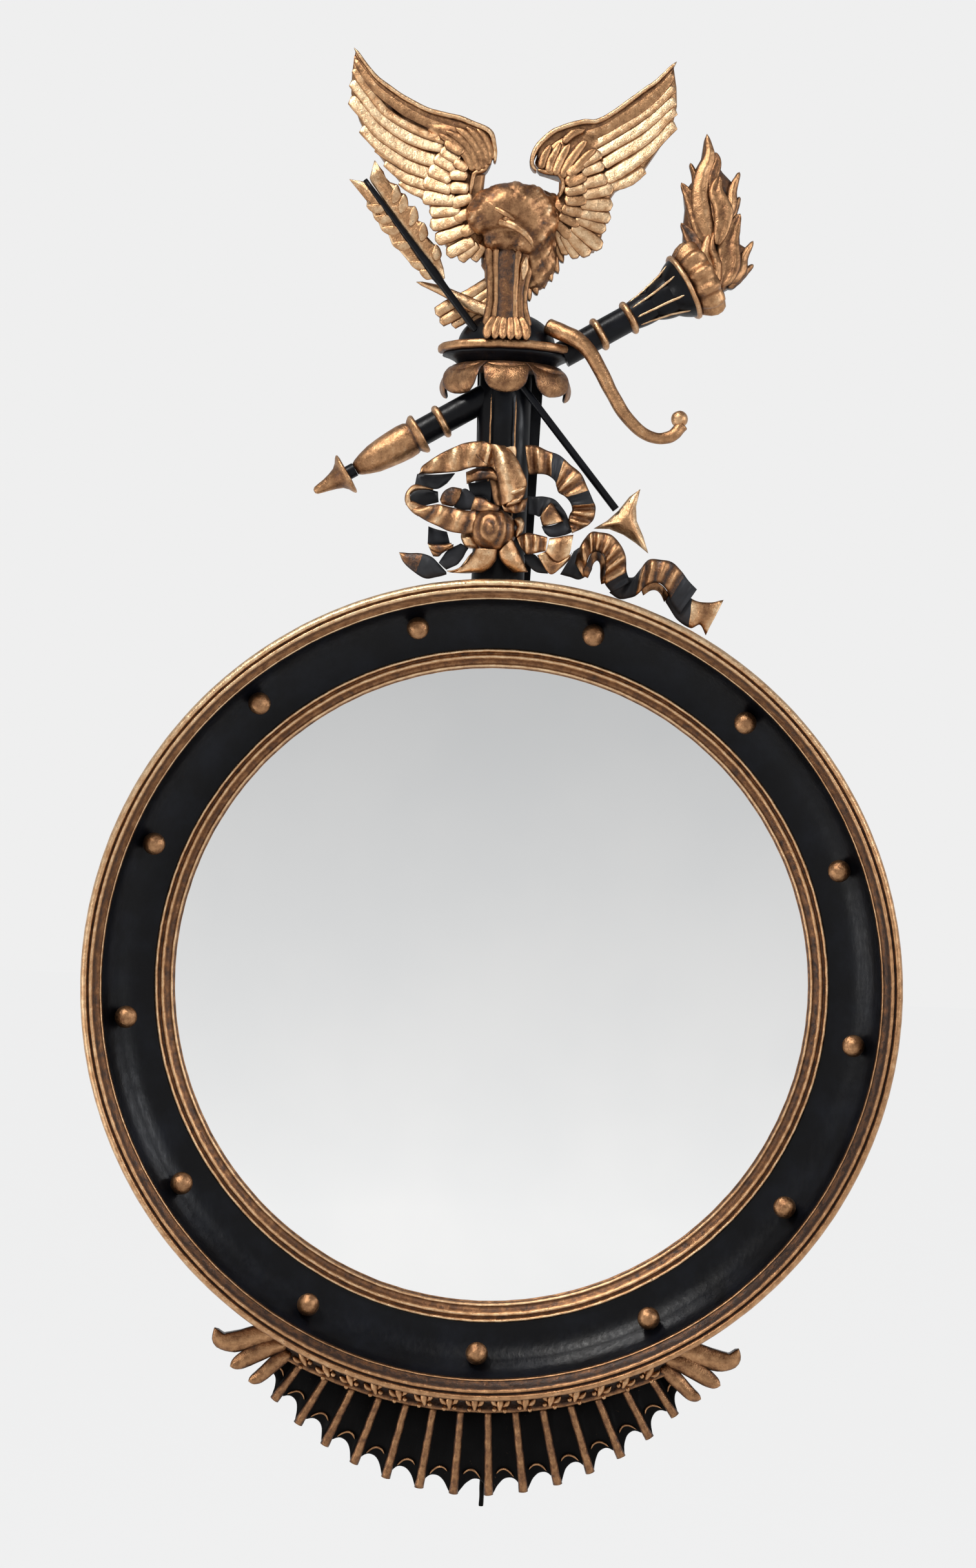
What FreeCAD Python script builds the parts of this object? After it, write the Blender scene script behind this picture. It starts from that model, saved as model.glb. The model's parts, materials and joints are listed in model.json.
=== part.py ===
"""Girandole mirror: a round convex mirror with an eagle crest and a ribbed apron.

Millimetres. X to the right, Z up, the front faces -Y. The origin is the ring's centre on the wall plane,
so depths in front of the wall are -Y and are written here as positive numbers.
"""

import FreeCAD
import Part
import math
import os
import re
import Sketcher

V = FreeCAD.Vector
doc = FreeCAD.newDocument("girandole_mirror")

# ---------------------------------------------------------------- driving dimensions

SIZES = {
    # ring, as radii and depths in front of the wall
    "rim_radius": 345,
    "frame_side_radius": 334,
    "cavetto_radius": 328,
    "slip_radius": 289,
    "rebate_radius": 283,
    "sight_radius": 273,
    "landing_radius": 322,
    "board_rebate_radius": 300,
    "landing_depth": 6,
    "board_rebate_depth": 12,
    "slip_seat_depth": 22,
    "cavetto_floor_depth": 25.5,
    "cavetto_lip_depth": 58,
    # glass and what holds it
    "glass_radius": 280,
    "glass_thickness": 3,
    "glass_edge_depth": 17.5,
    "glass_bulge": 28.5,
    "packing_count": 8,
    "packing_length": 30,
    "backboard_radius": 299.4,
    "backboard_thickness": 5.8,
    # turn buttons and their screws
    "button_pivot_radius": 311,
    "button_length": 30,
    "button_width": 11,
    "button_thickness": 2.8,
    "button_bore_radius": 1.85,
    "button_screw_radius": 1.8,
    "button_screw_head_radius": 3.6,
    # gilt balls
    "ball_count": 13,
    "ball_radius": 9.5,
    "ball_pin_radius": 2,
    "ball_pin_length": 14,
    # crest: column, capital and dome
    "board_back_depth": 12,
    "column_back_depth": 22,
    "column_front_depth": 50,
    "column_left": -31,
    "column_right": 14,
    "board_left": -31,
    "board_right": 20,
    "board_top": 529,
    "column_foot": 346,
    "capital_left": -67,
    "capital_right": 52,
    "capital_front_depth": 64,
    "rim_bottom": 539.5,
    "rim_top": 547,
    "cove_bottom": 529,
    "leaf_band_bottom": 519,
    "dome_centre": -9,
    "dome_half_width": 42,
    "dome_height": 30,
    "dome_projection": 38,
    # torch, measured along its axis from the middle ring of its lower half
    "torch_start_across": -62,
    "torch_start_up": 479.8,
    "torch_tilt": 31.2,
    "torch_depth": 32,
    "torch_radius": 11.5,
    "torch_ring_radius": 15.5,
    "torch_cup_radius": 27.5,
    "torch_rim_radius": 34.5,
    # arrow
    "arrow_depth": 48,
    "arrow_radius": 3.2,
    "arrow_nock_across": -136,
    "arrow_nock_up": 681,
    "arrow_tip_across": 89,
    "arrow_tip_up": 409,
    # ribbon
    "ribbon_thickness": 4,
    "knot_radius": 17,
    "knot_across": -15,
    "knot_up": 386,
    "knot_depth": 60,
    # apron
    "apron_back_depth": 20,
    "apron_front_depth": 36,
    "apron_inner_radius": 335,
    "fan_centre_up": -115,
    "rib_count": 14,
    "rib_radius": 3.6,
    "border_radius": 354,
    "border_bead_radius": 6.5,
    # iron work at the back
    "strap_width": 30,
    "strap_thickness": 3,
    "strap_bottom": 301,
    "strap_top": 470,
    "bracket_width": 20,
    "bracket_thickness": 2.5,
    "bracket_leg": 30,
    "screw_radius": 2,
    "screw_head_radius": 4,
    "screw_length": 12,
    # hanging ring
    "hanger_up": 405,
    "hanger_bar_depth": 4.6,
    "hanger_bar_radius": 2,
    "hanger_bore_radius": 2.06,
    "hanger_knuckle_radius": 3.5,
    "hanger_ring_radius": 15,
    "hanger_drop": 12,
}

sheet = doc.addObject("Spreadsheet::Sheet", "Sizes")
for row, (alias, number) in enumerate(SIZES.items(), 1):
    sheet.set(f"A{row}", alias.replace("_", " "))
    sheet.set(f"B{row}", str(number))
    sheet.setAlias(f"B{row}", alias)
doc.recompute()

nodes = []


def value(expression):
    """A number, or what an expression in the sheet's words comes to."""
    if isinstance(expression, str):
        return float(sheet.evalExpression(expression))
    return float(expression)


def cells(expression):
    """The same expression as another object has to write it."""
    for alias in sorted(set(re.findall("[a-z_]+", expression)) & set(SIZES)):
        expression = re.sub(rf"\b{alias}\b", "Sizes." + alias, expression)
    return expression


def bind(thing, settings):
    """Set properties to numbers, or bind them to the sheet."""
    for name, expression in settings.items():
        if isinstance(expression, str):
            thing.setExpression(name, cells(expression))
        else:
            setattr(thing, name, expression)
    return thing


def node(thing, name, placement=None):
    """Name a finished sub-part, which is also the name of its file."""
    thing.Label = name
    if placement is not None:
        thing.Placement = placement
    nodes.append(thing)
    return thing


def at(x, depth, z, axis=V(0, 0, 1), angle=0):
    """A place given by its depth in front of the wall."""
    return FreeCAD.Placement(V(x, -depth, z), FreeCAD.Rotation(axis, angle))


def around_ring(turn):
    """A turn in the wall's plane about the ring's centre."""
    return FreeCAD.Placement(V(), FreeCAD.Rotation(V(0, 1, 0), turn))


def raised(height):
    """A step along local Z."""
    return FreeCAD.Placement(V(0, 0, value(height)), FreeCAD.Rotation())


FACING = FreeCAD.Placement(V(), FreeCAD.Rotation(V(1, 0, 0), 90))

# ---------------------------------------------------------------- sketches and bodies


def origin_plane(body, role):
    return [feature for feature in body.Origin.OriginFeatures if feature.Role == role][0]


def outline_sketch(body, name, role, outline, offset=0):
    """A closed sketch. Each corner is (across, up) or (across, up, bulge): the bulge bends the edge that
    arrives there to the right by that share of half its length. Corners are numbers or sheet expressions."""
    sketch = body.newObject("Sketcher::SketchObject", name)
    sketch.AttachmentSupport = [(origin_plane(body, role), "")]
    sketch.MapMode = "FlatFace"
    if offset:
        sketch.AttachmentOffset = FreeCAD.Placement(V(0, 0, value(offset)), FreeCAD.Rotation())
    corners = [V(value(corner[0]), value(corner[1]), 0) for corner in outline]
    ends = []
    for number, corner in enumerate(outline):
        start = corners[number - 1]
        stop = corners[number]
        bulge = corner[2] if len(corner) > 2 else 0
        if not bulge:
            edge = sketch.addGeometry(Part.LineSegment(start, stop), False)
            ends.append((edge, 1, 2))
            continue
        half = (stop - start) * 0.5
        middle = (start + stop) * 0.5 + V(half.y, -half.x, 0) * bulge
        if bulge > 0:
            edge = sketch.addGeometry(Part.Arc(start, middle, stop), False)
            ends.append((edge, 1, 2))
        else:
            edge = sketch.addGeometry(Part.Arc(stop, middle, start), False)
            ends.append((edge, 2, 1))
        sketch.addConstraint(Sketcher.Constraint("Angle", edge, 4 * math.atan(abs(bulge))))
    for number, (edge, first, last) in enumerate(ends):
        following = ends[(number + 1) % len(ends)]
        sketch.addConstraint(Sketcher.Constraint("Coincident", edge, last, following[0], following[1]))
        for kind, place in (("DistanceX", outline[number][0]), ("DistanceY", outline[number][1])):
            constraint = sketch.addConstraint(Sketcher.Constraint(kind, -1, 1, edge, last, value(place)))
            if isinstance(place, str):
                sketch.setExpression(f"Constraints[{constraint}]", cells(place))
    return sketch


def turned(name, outline, placement=FACING, angle=360):
    """A piece turned about its own Z axis, from an outline of (radius, height)."""
    body = doc.addObject("PartDesign::Body", name)
    sketch = outline_sketch(body, name + "_profile", "XZ_Plane", outline)
    turning = body.newObject("PartDesign::Revolution", name + "_turning")
    turning.Profile = sketch
    turning.ReferenceAxis = (sketch, ["V_Axis"])
    turning.Angle = angle
    doc.recompute()
    return node(body, name, placement)


def sawn(name, outline, back, front):
    """A piece sawn from a board: an outline of (x, z), between two depths in front of the wall."""
    body = doc.addObject("PartDesign::Body", name)
    sketch = outline_sketch(body, name + "_outline", "XZ_Plane", outline, back)
    board = body.newObject("PartDesign::Pad", name + "_board")
    board.Profile = sketch
    bind(board, {"Length": f"{front} - {back}"})
    doc.recompute()
    return node(body, name)


def stacked(name, lower, upper, bottom, top):
    """A piece that lofts from one plan outline of (x, y) to another above it."""
    body = doc.addObject("PartDesign::Body", name)
    first = outline_sketch(body, name + "_lower", "XY_Plane", lower, bottom)
    second = outline_sketch(body, name + "_upper", "XY_Plane", upper, top)
    loft = body.newObject("PartDesign::AdditiveLoft", name + "_loft")
    loft.Profile = first
    loft.Sections = [second]
    loft.Ruled = True
    doc.recompute()
    return node(body, name)


def segment_plan(left, right, depth):
    """A plan with a flat back on the crest board and a round front."""
    back = "-column_back_depth"
    rise = value(depth) - value("column_back_depth")
    bulge = rise / ((value(right) - value(left)) / 2)
    return [(right, back), (left, back, -bulge)]


def primitive(kind, name, settings, placement):
    thing = bind(doc.addObject(kind, name), settings)
    thing.Placement = placement
    return thing


def joined(name, pieces):
    whole = doc.addObject("Part::MultiFuse", name)
    whole.Shapes = pieces
    return whole


def trimmed(name, base, tool):
    rest = doc.addObject("Part::Cut", name)
    rest.Base = base
    rest.Tool = tool
    return rest


def together(name, pieces):
    whole = doc.addObject("Part::Compound", name)
    whole.Links = pieces
    doc.recompute()
    return whole


def grouped(name, pieces):
    """Several separate solids of one kind in one node."""
    return node(together(name, pieces), name)


# ---------------------------------------------------------------- ring, slip and glass

# the hollow's arc runs from the slip to the lip, bent by this share of its half length
HOLLOW_BULGE = 0.4

ring_blank = turned(
    "frame_ring_turning",
    [
        ("rebate_radius", "board_rebate_depth"),
        ("board_rebate_radius", "board_rebate_depth"),
        ("board_rebate_radius", "landing_depth"),
        ("landing_radius", "landing_depth"),
        ("landing_radius", 0),
        ("frame_side_radius - 2", 0),
        ("frame_side_radius", 3),
        ("frame_side_radius", "cavetto_lip_depth"),
        ("cavetto_radius", "cavetto_lip_depth"),
        ("slip_radius", "cavetto_floor_depth", -HOLLOW_BULGE),
        ("slip_radius", "slip_seat_depth"),
        ("rebate_radius", "slip_seat_depth"),
    ],
)
nodes.remove(ring_blank)

turned(
    "outer_moulding",
    [
        ("frame_side_radius", 42),
        ("frame_side_radius + 3", 44),
        ("rim_radius - 2.5", 56.5, -0.3),
        ("rim_radius", 68, 0.1),
        ("frame_side_radius + 4.6", 72.5, 0.8),
        ("frame_side_radius + 4", 69.6),
        ("frame_side_radius", 68, 0.9),
        ("cavetto_radius + 2.4", 60.2, -0.35),
        ("cavetto_radius", 60, 0.9),
        ("cavetto_radius", "cavetto_lip_depth"),
        ("frame_side_radius", "cavetto_lip_depth"),
    ],
)

turned(
    "reeded_slip",
    [
        ("rebate_radius - 0.2", 17.5),
        ("rebate_radius - 0.2", "slip_seat_depth"),
        ("slip_radius - 0.1", "slip_seat_depth"),
        ("slip_radius - 0.1", 26.2),
        ("slip_radius - 1.2", 27.6),
        ("slip_radius - 3.2", 27.8),
        ("slip_radius - 4.4", 26.2),
        ("slip_radius - 4.8", 24.6),
        ("slip_radius - 6.4", 26),
        ("slip_radius - 9.4", 25.6),
        ("slip_radius - 11.4", 23.4),
        ("slip_radius - 12.4", 21.4),
        ("slip_radius - 13.4", 22.2),
        ("slip_radius - 15", 22.2),
        ("sight_radius", 21),
        ("sight_radius", 19.4),
    ],
)

# half the tangent of a quarter of the arc, from edge to edge
glass_half_arc = 2 * math.atan(value("glass_bulge / glass_radius"))
glass_bend = math.tan(glass_half_arc / 4)
turned(
    "convex_glass",
    [
        (0, "glass_edge_depth + glass_bulge - glass_thickness"),
        ("glass_radius", "glass_edge_depth - glass_thickness", -glass_bend),
        ("glass_radius", "glass_edge_depth"),
        (0, "glass_edge_depth + glass_bulge", glass_bend),
    ],
)

packing = []
for number in range(int(value("packing_count"))):
    turn = 360 / value("packing_count") * number + 22.5
    block = bind(
        doc.addObject("Part::Box", f"packing_block_{number + 1}"),
        {"Length": "rebate_radius - 271.2", "Width": 2.1, "Height": "packing_length"},
    )
    behind_glass = V(270, -14.3, -value("packing_length") / 2)
    block.Placement = around_ring(turn).multiply(FreeCAD.Placement(behind_glass, FreeCAD.Rotation()))
    packing.append(block)
grouped("glass_packing", packing)

turned(
    "backboard",
    [
        (0, "landing_depth"),
        ("backboard_radius", "landing_depth"),
        ("backboard_radius", "landing_depth + backboard_thickness"),
        (0, "landing_depth + backboard_thickness"),
    ],
)

# ---------------------------------------------------------------- turn buttons

screws = []
for number in range(4):
    turn = 45 + 90 * number
    on_landing = V(value("button_pivot_radius"), -value("landing_depth"), 0)
    pivot = around_ring(-turn).multiply(FreeCAD.Placement(on_landing, FreeCAD.Rotation(V(1, 0, 0), -90)))
    name = f"turn_button_{number + 1}"
    body = doc.addObject("PartDesign::Body", name)
    inner = "button_width / 2 - button_length"
    plate = outline_sketch(
        body,
        name + "_outline",
        "XY_Plane",
        [
            (0, "-button_width / 2"),
            (0, "button_width / 2", 1),
            (inner, "button_width / 2"),
            (inner, "-button_width / 2", 1),
        ],
        0.2,
    )
    pad = body.newObject("PartDesign::Pad", name + "_plate")
    pad.Profile = plate
    bind(pad, {"Length": "button_thickness"})
    bore = body.newObject("Sketcher::SketchObject", name + "_bore")
    bore.AttachmentSupport = [(origin_plane(body, "XY_Plane"), "")]
    bore.MapMode = "FlatFace"
    bore.addGeometry(Part.Circle(V(), V(0, 0, 1), value("button_bore_radius")), False)
    bore.addConstraint(Sketcher.Constraint("Coincident", 0, 3, -1, 1))
    size = bore.addConstraint(Sketcher.Constraint("Radius", 0, value("button_bore_radius")))
    bore.setExpression(f"Constraints[{size}]", cells("button_bore_radius"))
    pocket = body.newObject("PartDesign::Pocket", name + "_hole")
    pocket.Profile = bore
    pocket.Type = "ThroughAll"
    pocket.Midplane = True
    doc.recompute()
    node(body, name, pivot)

    shank = primitive(
        "Part::Cylinder",
        f"button_screw_shank_{number + 1}",
        {"Radius": "button_screw_radius", "Height": "screw_length"},
        pivot.multiply(raised("button_thickness + 0.6 - screw_length")),
    )
    head = primitive(
        "Part::Cylinder",
        f"button_screw_head_{number + 1}",
        {"Radius": "button_screw_head_radius", "Height": 1.6},
        pivot.multiply(raised("button_thickness + 0.4")),
    )
    screws.append(joined(f"button_screw_{number + 1}", [shank, head]))
button_screws = grouped("button_screws", screws)

# ---------------------------------------------------------------- gilt balls on pins

hollow_start = V(value("slip_radius"), value("cavetto_floor_depth"), 0)
hollow_end = V(value("cavetto_radius"), value("cavetto_lip_depth"), 0)
hollow_half = (hollow_end - hollow_start) * 0.5
hollow_radius = hollow_half.Length * (1 + HOLLOW_BULGE ** 2) / (2 * HOLLOW_BULGE)
hollow_rise = hollow_radius - HOLLOW_BULGE * hollow_half.Length
hollow_normal = V(-hollow_half.y, hollow_half.x, 0).normalize()
hollow_centre = (hollow_start + hollow_end) * 0.5 + hollow_normal * hollow_rise
lean = math.radians(42)
inward = V(-math.cos(lean), math.sin(lean), 0)
ball_place = hollow_centre - inward * (hollow_radius - value("ball_radius"))

balls = []
pins = []
for number in range(int(value("ball_count"))):
    turn = 360 / value("ball_count") * number - 90
    # local X is the radius, local -Y the depth, local Z of the pin points into the wood
    into_hollow = FreeCAD.Rotation(V(0, 0, 1), V(-inward.x, inward.y, 0))
    seat = FreeCAD.Placement(V(ball_place.x, -ball_place.y, 0), into_hollow)
    place = around_ring(-turn).multiply(seat)
    start = place.multiply(raised("ball_radius / 2"))
    ball = primitive("Part::Sphere", f"ball_turning_{number + 1:02d}", {"Radius": "ball_radius"}, place)
    drill = {"Radius": "ball_pin_radius", "Height": "ball_pin_length"}
    pins.append(primitive("Part::Cylinder", f"ball_pin_{number + 1:02d}", drill, start))
    balls.append(trimmed(f"ball_{number + 1:02d}", ball, pins[-1]))
grouped("gilt_balls", balls)
ball_pins = grouped("ball_pins", pins)

# ---------------------------------------------------------------- carved forms


def carved(name, shape):
    """A carved piece whose form no sketch or primitive holds."""
    piece = doc.addObject("Part::Feature", name)
    piece.Shape = shape
    return piece


def tangents(points):
    """The direction of travel at each point of a route."""
    last = len(points) - 1
    return [(points[min(i + 1, last)] - points[max(i - 1, 0)]).normalize() for i in range(last + 1)]


def rod(stations):
    """A round tapering limb through (x, depth, z, radius)."""
    points = [V(x, -depth, z) for x, depth, z, _ in stations]
    rings = []
    for point, direction, station in zip(points, tangents(points), stations):
        ring = Part.Wire(Part.makeCircle(station[3]))
        seam_at_back = FreeCAD.Rotation(V(0, 1, 0), V(), direction, "ZXY")
        ring.Placement = FreeCAD.Placement(point, seam_at_back)
        rings.append(ring)
    return Part.makeLoft(rings, True, False)


def strip(stations, thickness):
    """A flat band through (x, depth, z, width)."""
    points = [V(x, -depth, z) for x, depth, z, _ in stations]
    sections = []
    for point, direction, station in zip(points, tangents(points), stations):
        across = direction.cross(V(0, 1, 0)).normalize()
        through = across.cross(direction)
        half_width = across * (station[3] / 2)
        half_thickness = through * (thickness / 2)
        corners = [
            point - half_width - half_thickness,
            point + half_width - half_thickness,
            point + half_width + half_thickness,
            point - half_width + half_thickness,
        ]
        sections.append(Part.makePolygon(corners + corners[:1]))
    return Part.makeLoft(sections, True, False)


# ---------------------------------------------------------------- column, capital and dome

board_blank = sawn(
    "crest_board_blank",
    [
        ("board_left + 3", "frame_side_radius + 0.3"),
        ("board_right - 1", "frame_side_radius + 0.3"),
        ("board_right + 4", "board_top"),
        ("board_left - 2", "board_top"),
    ],
    "board_back_depth",
    "column_back_depth",
)

nodes.remove(board_blank)

column = doc.addObject("PartDesign::Body", "column")
column_plan = outline_sketch(
    column,
    "column_plan",
    "XY_Plane",
    [
        ("column_left", "-column_back_depth"),
        ("column_left", "-column_back_depth - 12"),
        ("column_left + 11", "-column_front_depth + 3", 0.3),
        ("column_right - 13", "-column_front_depth + 3", 0.3),
        ("column_right", "-column_back_depth - 12", 0.3),
        ("column_right", "-column_back_depth"),
    ],
    "column_foot",
)
shaft = column.newObject("PartDesign::Pad", "column_shaft")
shaft.Profile = column_plan
bind(shaft, {"Length": "cove_bottom - column_foot"})
doc.recompute()
node(column, "column")

cove = stacked(
    "capital_cove",
    segment_plan("capital_left + 14", "capital_right - 13", "capital_front_depth - 10"),
    segment_plan("capital_left + 3", "capital_right - 3", "capital_front_depth - 3"),
    "cove_bottom",
    "rim_bottom",
)
rim = doc.addObject("PartDesign::Body", "capital_rim")
rim_outline = segment_plan("capital_left", "capital_right", "capital_front_depth")
rim_plan = outline_sketch(rim, "capital_rim_plan", "XY_Plane", rim_outline, "rim_bottom")
rim_pad = rim.newObject("PartDesign::Pad", "capital_rim_pad")
rim_pad.Profile = rim_plan
bind(rim_pad, {"Length": "rim_top - rim_bottom"})
doc.recompute()
node(rim, "capital_rim")

# the collar is a band with three hanging leaves in front and a curled one at each end
collar_parts = []
band = doc.addObject("PartDesign::Body", "collar_band")
band_plan = outline_sketch(
    band,
    "collar_band_plan",
    "XY_Plane",
    segment_plan("capital_left + 11", "capital_right - 11", "capital_front_depth - 8"),
    "leaf_band_bottom",
)
band_pad = band.newObject("PartDesign::Pad", "collar_band_pad")
band_pad.Profile = band_plan
bind(band_pad, {"Length": "cove_bottom - leaf_band_bottom"})
collar_parts.append(band)
COLLAR_LEAVES = [
    # centre across and up, radius, back and front depth
    (-15, 515.5, 13.5, 30, 57), (-49, 514, 10.5, 24, 46), (30, 514, 10.5, 24, 46),
    (-60, 511, 7, 24, 36), (43, 511, 7, 24, 36),
]
for number, (x, z, radius, back, front) in enumerate(COLLAR_LEAVES, 1):
    leaf = {"Radius": radius, "Height": front - back}
    place = at(x, back, z, V(1, 0, 0), 90)
    collar_parts.append(primitive("Part::Cylinder", f"collar_leaf_{number}", leaf, place))
collar = trimmed("collar_around_column", joined("collar_leaves", collar_parts), column)
node(collar, "leaf_collar")

rock = primitive(
    "Part::Ellipsoid",
    "rock_dome",
    {
        "Radius1": "dome_height",
        "Radius2": "dome_half_width",
        "Radius3": "dome_projection",
        "Angle1": 0,
        "Angle2": 90,
        "Angle3": 180,
    },
    at(value("dome_centre"), value("column_back_depth"), value("rim_top"), V(0, 0, 1), 180),
)

# ---------------------------------------------------------------- eagle

EAGLE_FORMS = {
    # name: centre x, depth, z, then half sizes across, deep and up
    "head": (-11, 62, 654, 38, 25, 25),
    "nape": (6, 52, 640, 27, 20, 36),
    "breast": (-8, 47, 622, 30, 17, 32),
    "plumage": (12, 44, 612, 20, 13, 34),
    "shoulders": (-5, 40, 660, 42, 13, 22),
}
eagle_parts = []
for name, (x, depth, z, across, deep, up) in EAGLE_FORMS.items():
    radii = {"Radius1": up, "Radius2": across, "Radius3": deep}
    eagle_parts.append(primitive("Part::Ellipsoid", "eagle_" + name, radii, at(x, depth, z)))
legs = primitive("Part::Cone", "eagle_legs", {"Radius1": 12, "Radius2": 17, "Height": 62}, at(-11, 48, 556))
feet = primitive("Part::Cone", "eagle_feet", {"Radius1": 20, "Radius2": 11, "Height": 18}, at(-11, 42, 547.2))
beak = carved("eagle_beak", rod([(-14, 80, 648, 8), (-4, 84, 644, 6.5), (4, 84, 637, 4), (8, 82, 628, 1)]))
eagle_carving = joined("eagle_carving", eagle_parts + [legs, feet, beak])
eagle = trimmed("eagle_on_rock", eagle_carving, rock)
node(rock, "rock_dome")
node(eagle, "eagle_body")

LEFT_WING = [
    (-42, 652), (-40, 672), (-42, 684), (-35, 692), (-28, 695), (-24, 703), (-31, 724, 0.15), (-50, 734),
    (-81, 743), (-111, 755), (-137, 777), (-148, 793), (-147, 775), (-151, 755), (-140, 727), (-127, 709),
    (-118, 698), (-102, 679), (-85, 666), (-78, 647), (-72, 629), (-61, 621), (-45, 617), (-33, 620),
]
RIGHT_WING = [
    (22, 649), (37, 626), (56, 626), (67, 636), (70, 647), (75, 667), (79, 684), (100, 701), (111, 717),
    (127, 743), (126, 767), (125, 790), (111, 778), (81, 753), (61, 741), (40, 735), (25, 730), (9, 712, 0.2),
    (6, 702), (10, 695), (25, 691), (33, 681, -0.2), (28, 671), (22, 668),
]
for name, outline in (("left_wing_blank", LEFT_WING), ("right_wing_blank", RIGHT_WING)):
    blank = sawn(name, outline, 34, 52)
    nodes.remove(blank)
    node(trimmed(name + "_against_body", blank, eagle), name.replace("_blank", ""))

tail_route = [(-20, 38, 596, 22), (-38, 34, 582, 23), (-55, 30, 573, 18), (-71, 28, 569, 9)]
tail = trimmed("tail_against_body", carved("eagle_tail_blank", strip(tail_route, 7)), eagle)
node(tail, "eagle_tail")

# ---------------------------------------------------------------- bow, arrow and torch

# each limb runs through stations of across, depth, up and radius
LEFT_LIMB = [
    (-88, 40, 596, 1.2), (-74, 39, 592, 4), (-60, 38, 587, 5.5), (-47, 36, 578, 6), (-36, 33, 569, 6),
    (-26, 30, 562, 6),
]
RIGHT_LIMB = [
    (24, 32, 556, 6.5), (36, 44, 557, 7), (50, 51, 556, 7), (62, 54, 548, 7), (70, 54, 536, 6.5),
    (78, 53, 520, 6), (89, 52, 501, 5.5), (103, 51, 484, 5), (118, 50, 475, 4.8), (132, 50, 475, 4.5),
    (141, 50, 482, 4),
]
left_limb = carved("bow_left_limb_blank", rod(LEFT_LIMB))
right_limb = carved("bow_right_limb_blank", rod(RIGHT_LIMB))
scroll = primitive("Part::Sphere", "bow_scroll", {"Radius": 7}, at(138, 50, 487))
right_bow = joined("bow_right_with_scroll", [right_limb, scroll])
capital = together("capital_solids", [rim, cove, collar, column])
dome_and_capital = together("dome_and_capital", [rock, rim, cove, collar, column])
left_bow = trimmed("bow_left_against_dome", trimmed("bow_left_against_eagle", left_limb, eagle), rock)
node(trimmed("bow_left_against_tail", left_bow, tail), "bow_left_limb")
bow_right = node(trimmed("bow_right_against_dome", right_bow, rock), "bow_right_limb")

arrow_start = V(value("arrow_nock_across"), -value("arrow_depth"), value("arrow_nock_up"))
arrow_end = V(value("arrow_tip_across"), -value("arrow_depth"), value("arrow_tip_up"))
arrow_line = arrow_end - arrow_start
arrow_turn = FreeCAD.Rotation(V(0, 0, 1), arrow_line)
for name, first, last in (("arrow_upper_shaft", 0, 0.45), ("arrow_lower_shaft", 0.6, 1)):
    place = FreeCAD.Placement(arrow_start + arrow_line * first, arrow_turn)
    length = arrow_line.Length * (last - first)
    stick = primitive("Part::Cylinder", name + "_stick", {"Radius": "arrow_radius", "Height": length}, place)
    free = trimmed(name + "_clear_of_eagle", stick, eagle)
    node(trimmed(name + "_in_dome", free, dome_and_capital), name)

# feather: a strip with seven notched barbs on each edge, cut from a thin board
along = arrow_line.normalize()
beside = V(along.z, 0, -along.x)
feather = []
barb_count = 7
feather_start = V(-140, -value("arrow_depth"), 686)
feather_length = 112
barb_length = feather_length / barb_count
for side in (1, -1):
    edge = []
    for number in range(barb_count):
        step = barb_length * number
        reach = 12.5 - 3 * number / barb_count
        edge.append(feather_start + along * step + beside * (side * reach))
        edge.append(feather_start + along * (step + barb_length) + beside * (side * (reach - 3)))
    edge.append(feather_start + along * (feather_length + 6) + beside * (side * 3))
    feather.append(edge if side > 0 else edge[::-1])
feather_outline = feather[0] + feather[1] + [feather_start + along * 11]
feather_face = Part.Face(Part.makePolygon(feather_outline + feather_outline[:1]))
feather_board = feather_face.extrude(V(0, -6, 0))
feather_board.translate(V(0, 3, 0))
feather_blank = carved("arrow_feather_blank", feather_board)
shaft_room = primitive(
    "Part::Cylinder",
    "arrow_feather_groove",
    {"Radius": "arrow_radius", "Height": 400},
    FreeCAD.Placement(arrow_start - along * 20, arrow_turn),
)
node(trimmed("arrow_feather_on_shaft", feather_blank, shaft_room), "arrow_feather")
ARROW_HEAD = [
    (118.5, 374), (107.5, 401, -0.06), (109.5, 428.5, -0.1), (91, 410, 0.25), (71.5, 393.5, 0.25),
    (90, 392.5), (107, 386),
]
head_blank = sawn("arrow_head_blank", ARROW_HEAD, 44, 52)
nodes.remove(head_blank)
node(trimmed("arrow_head_on_shaft", head_blank, shaft_room), "arrow_head")

torch_turn = FreeCAD.Rotation(V(0, 1, 0), 90 - value("torch_tilt"))
torch_start = V(value("torch_start_across"), -value("torch_depth"), value("torch_start_up"))
torch_axis = torch_turn.multVec(V(0, 0, 1))


def on_torch(distance=0):
    return FreeCAD.Placement(torch_start + torch_axis * distance, torch_turn)


for name, first, last, tool in (
    ("torch_lower_shaft", -23, 46, capital),
    ("torch_upper_shaft", 118, 184, together("dome_capital_and_bow", [dome_and_capital, bow_right])),
):
    stick_size = {"Radius": "torch_radius", "Height": last - first}
    stick = primitive("Part::Cylinder", name + "_stick", stick_size, on_torch(first))
    free = trimmed(name + "_against_capital", stick, tool)
    node(trimmed(name + "_against_board", free, board_blank), name)

rings = []
for number, distance in enumerate((0, 154, 183), 1):
    torus = {"Radius1": "torch_ring_radius - 2", "Radius2": 2}
    hoop = primitive("Part::Torus", f"torch_hoop_{number}", torus, on_torch(distance))
    core_size = {"Radius": "torch_radius", "Height": 6}
    core = primitive("Part::Cylinder", f"torch_hoop_core_{number}", core_size, on_torch(distance - 3))
    rings.append(trimmed(f"torch_ring_{number}", hoop, core))
grouped("torch_rings", rings)

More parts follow.
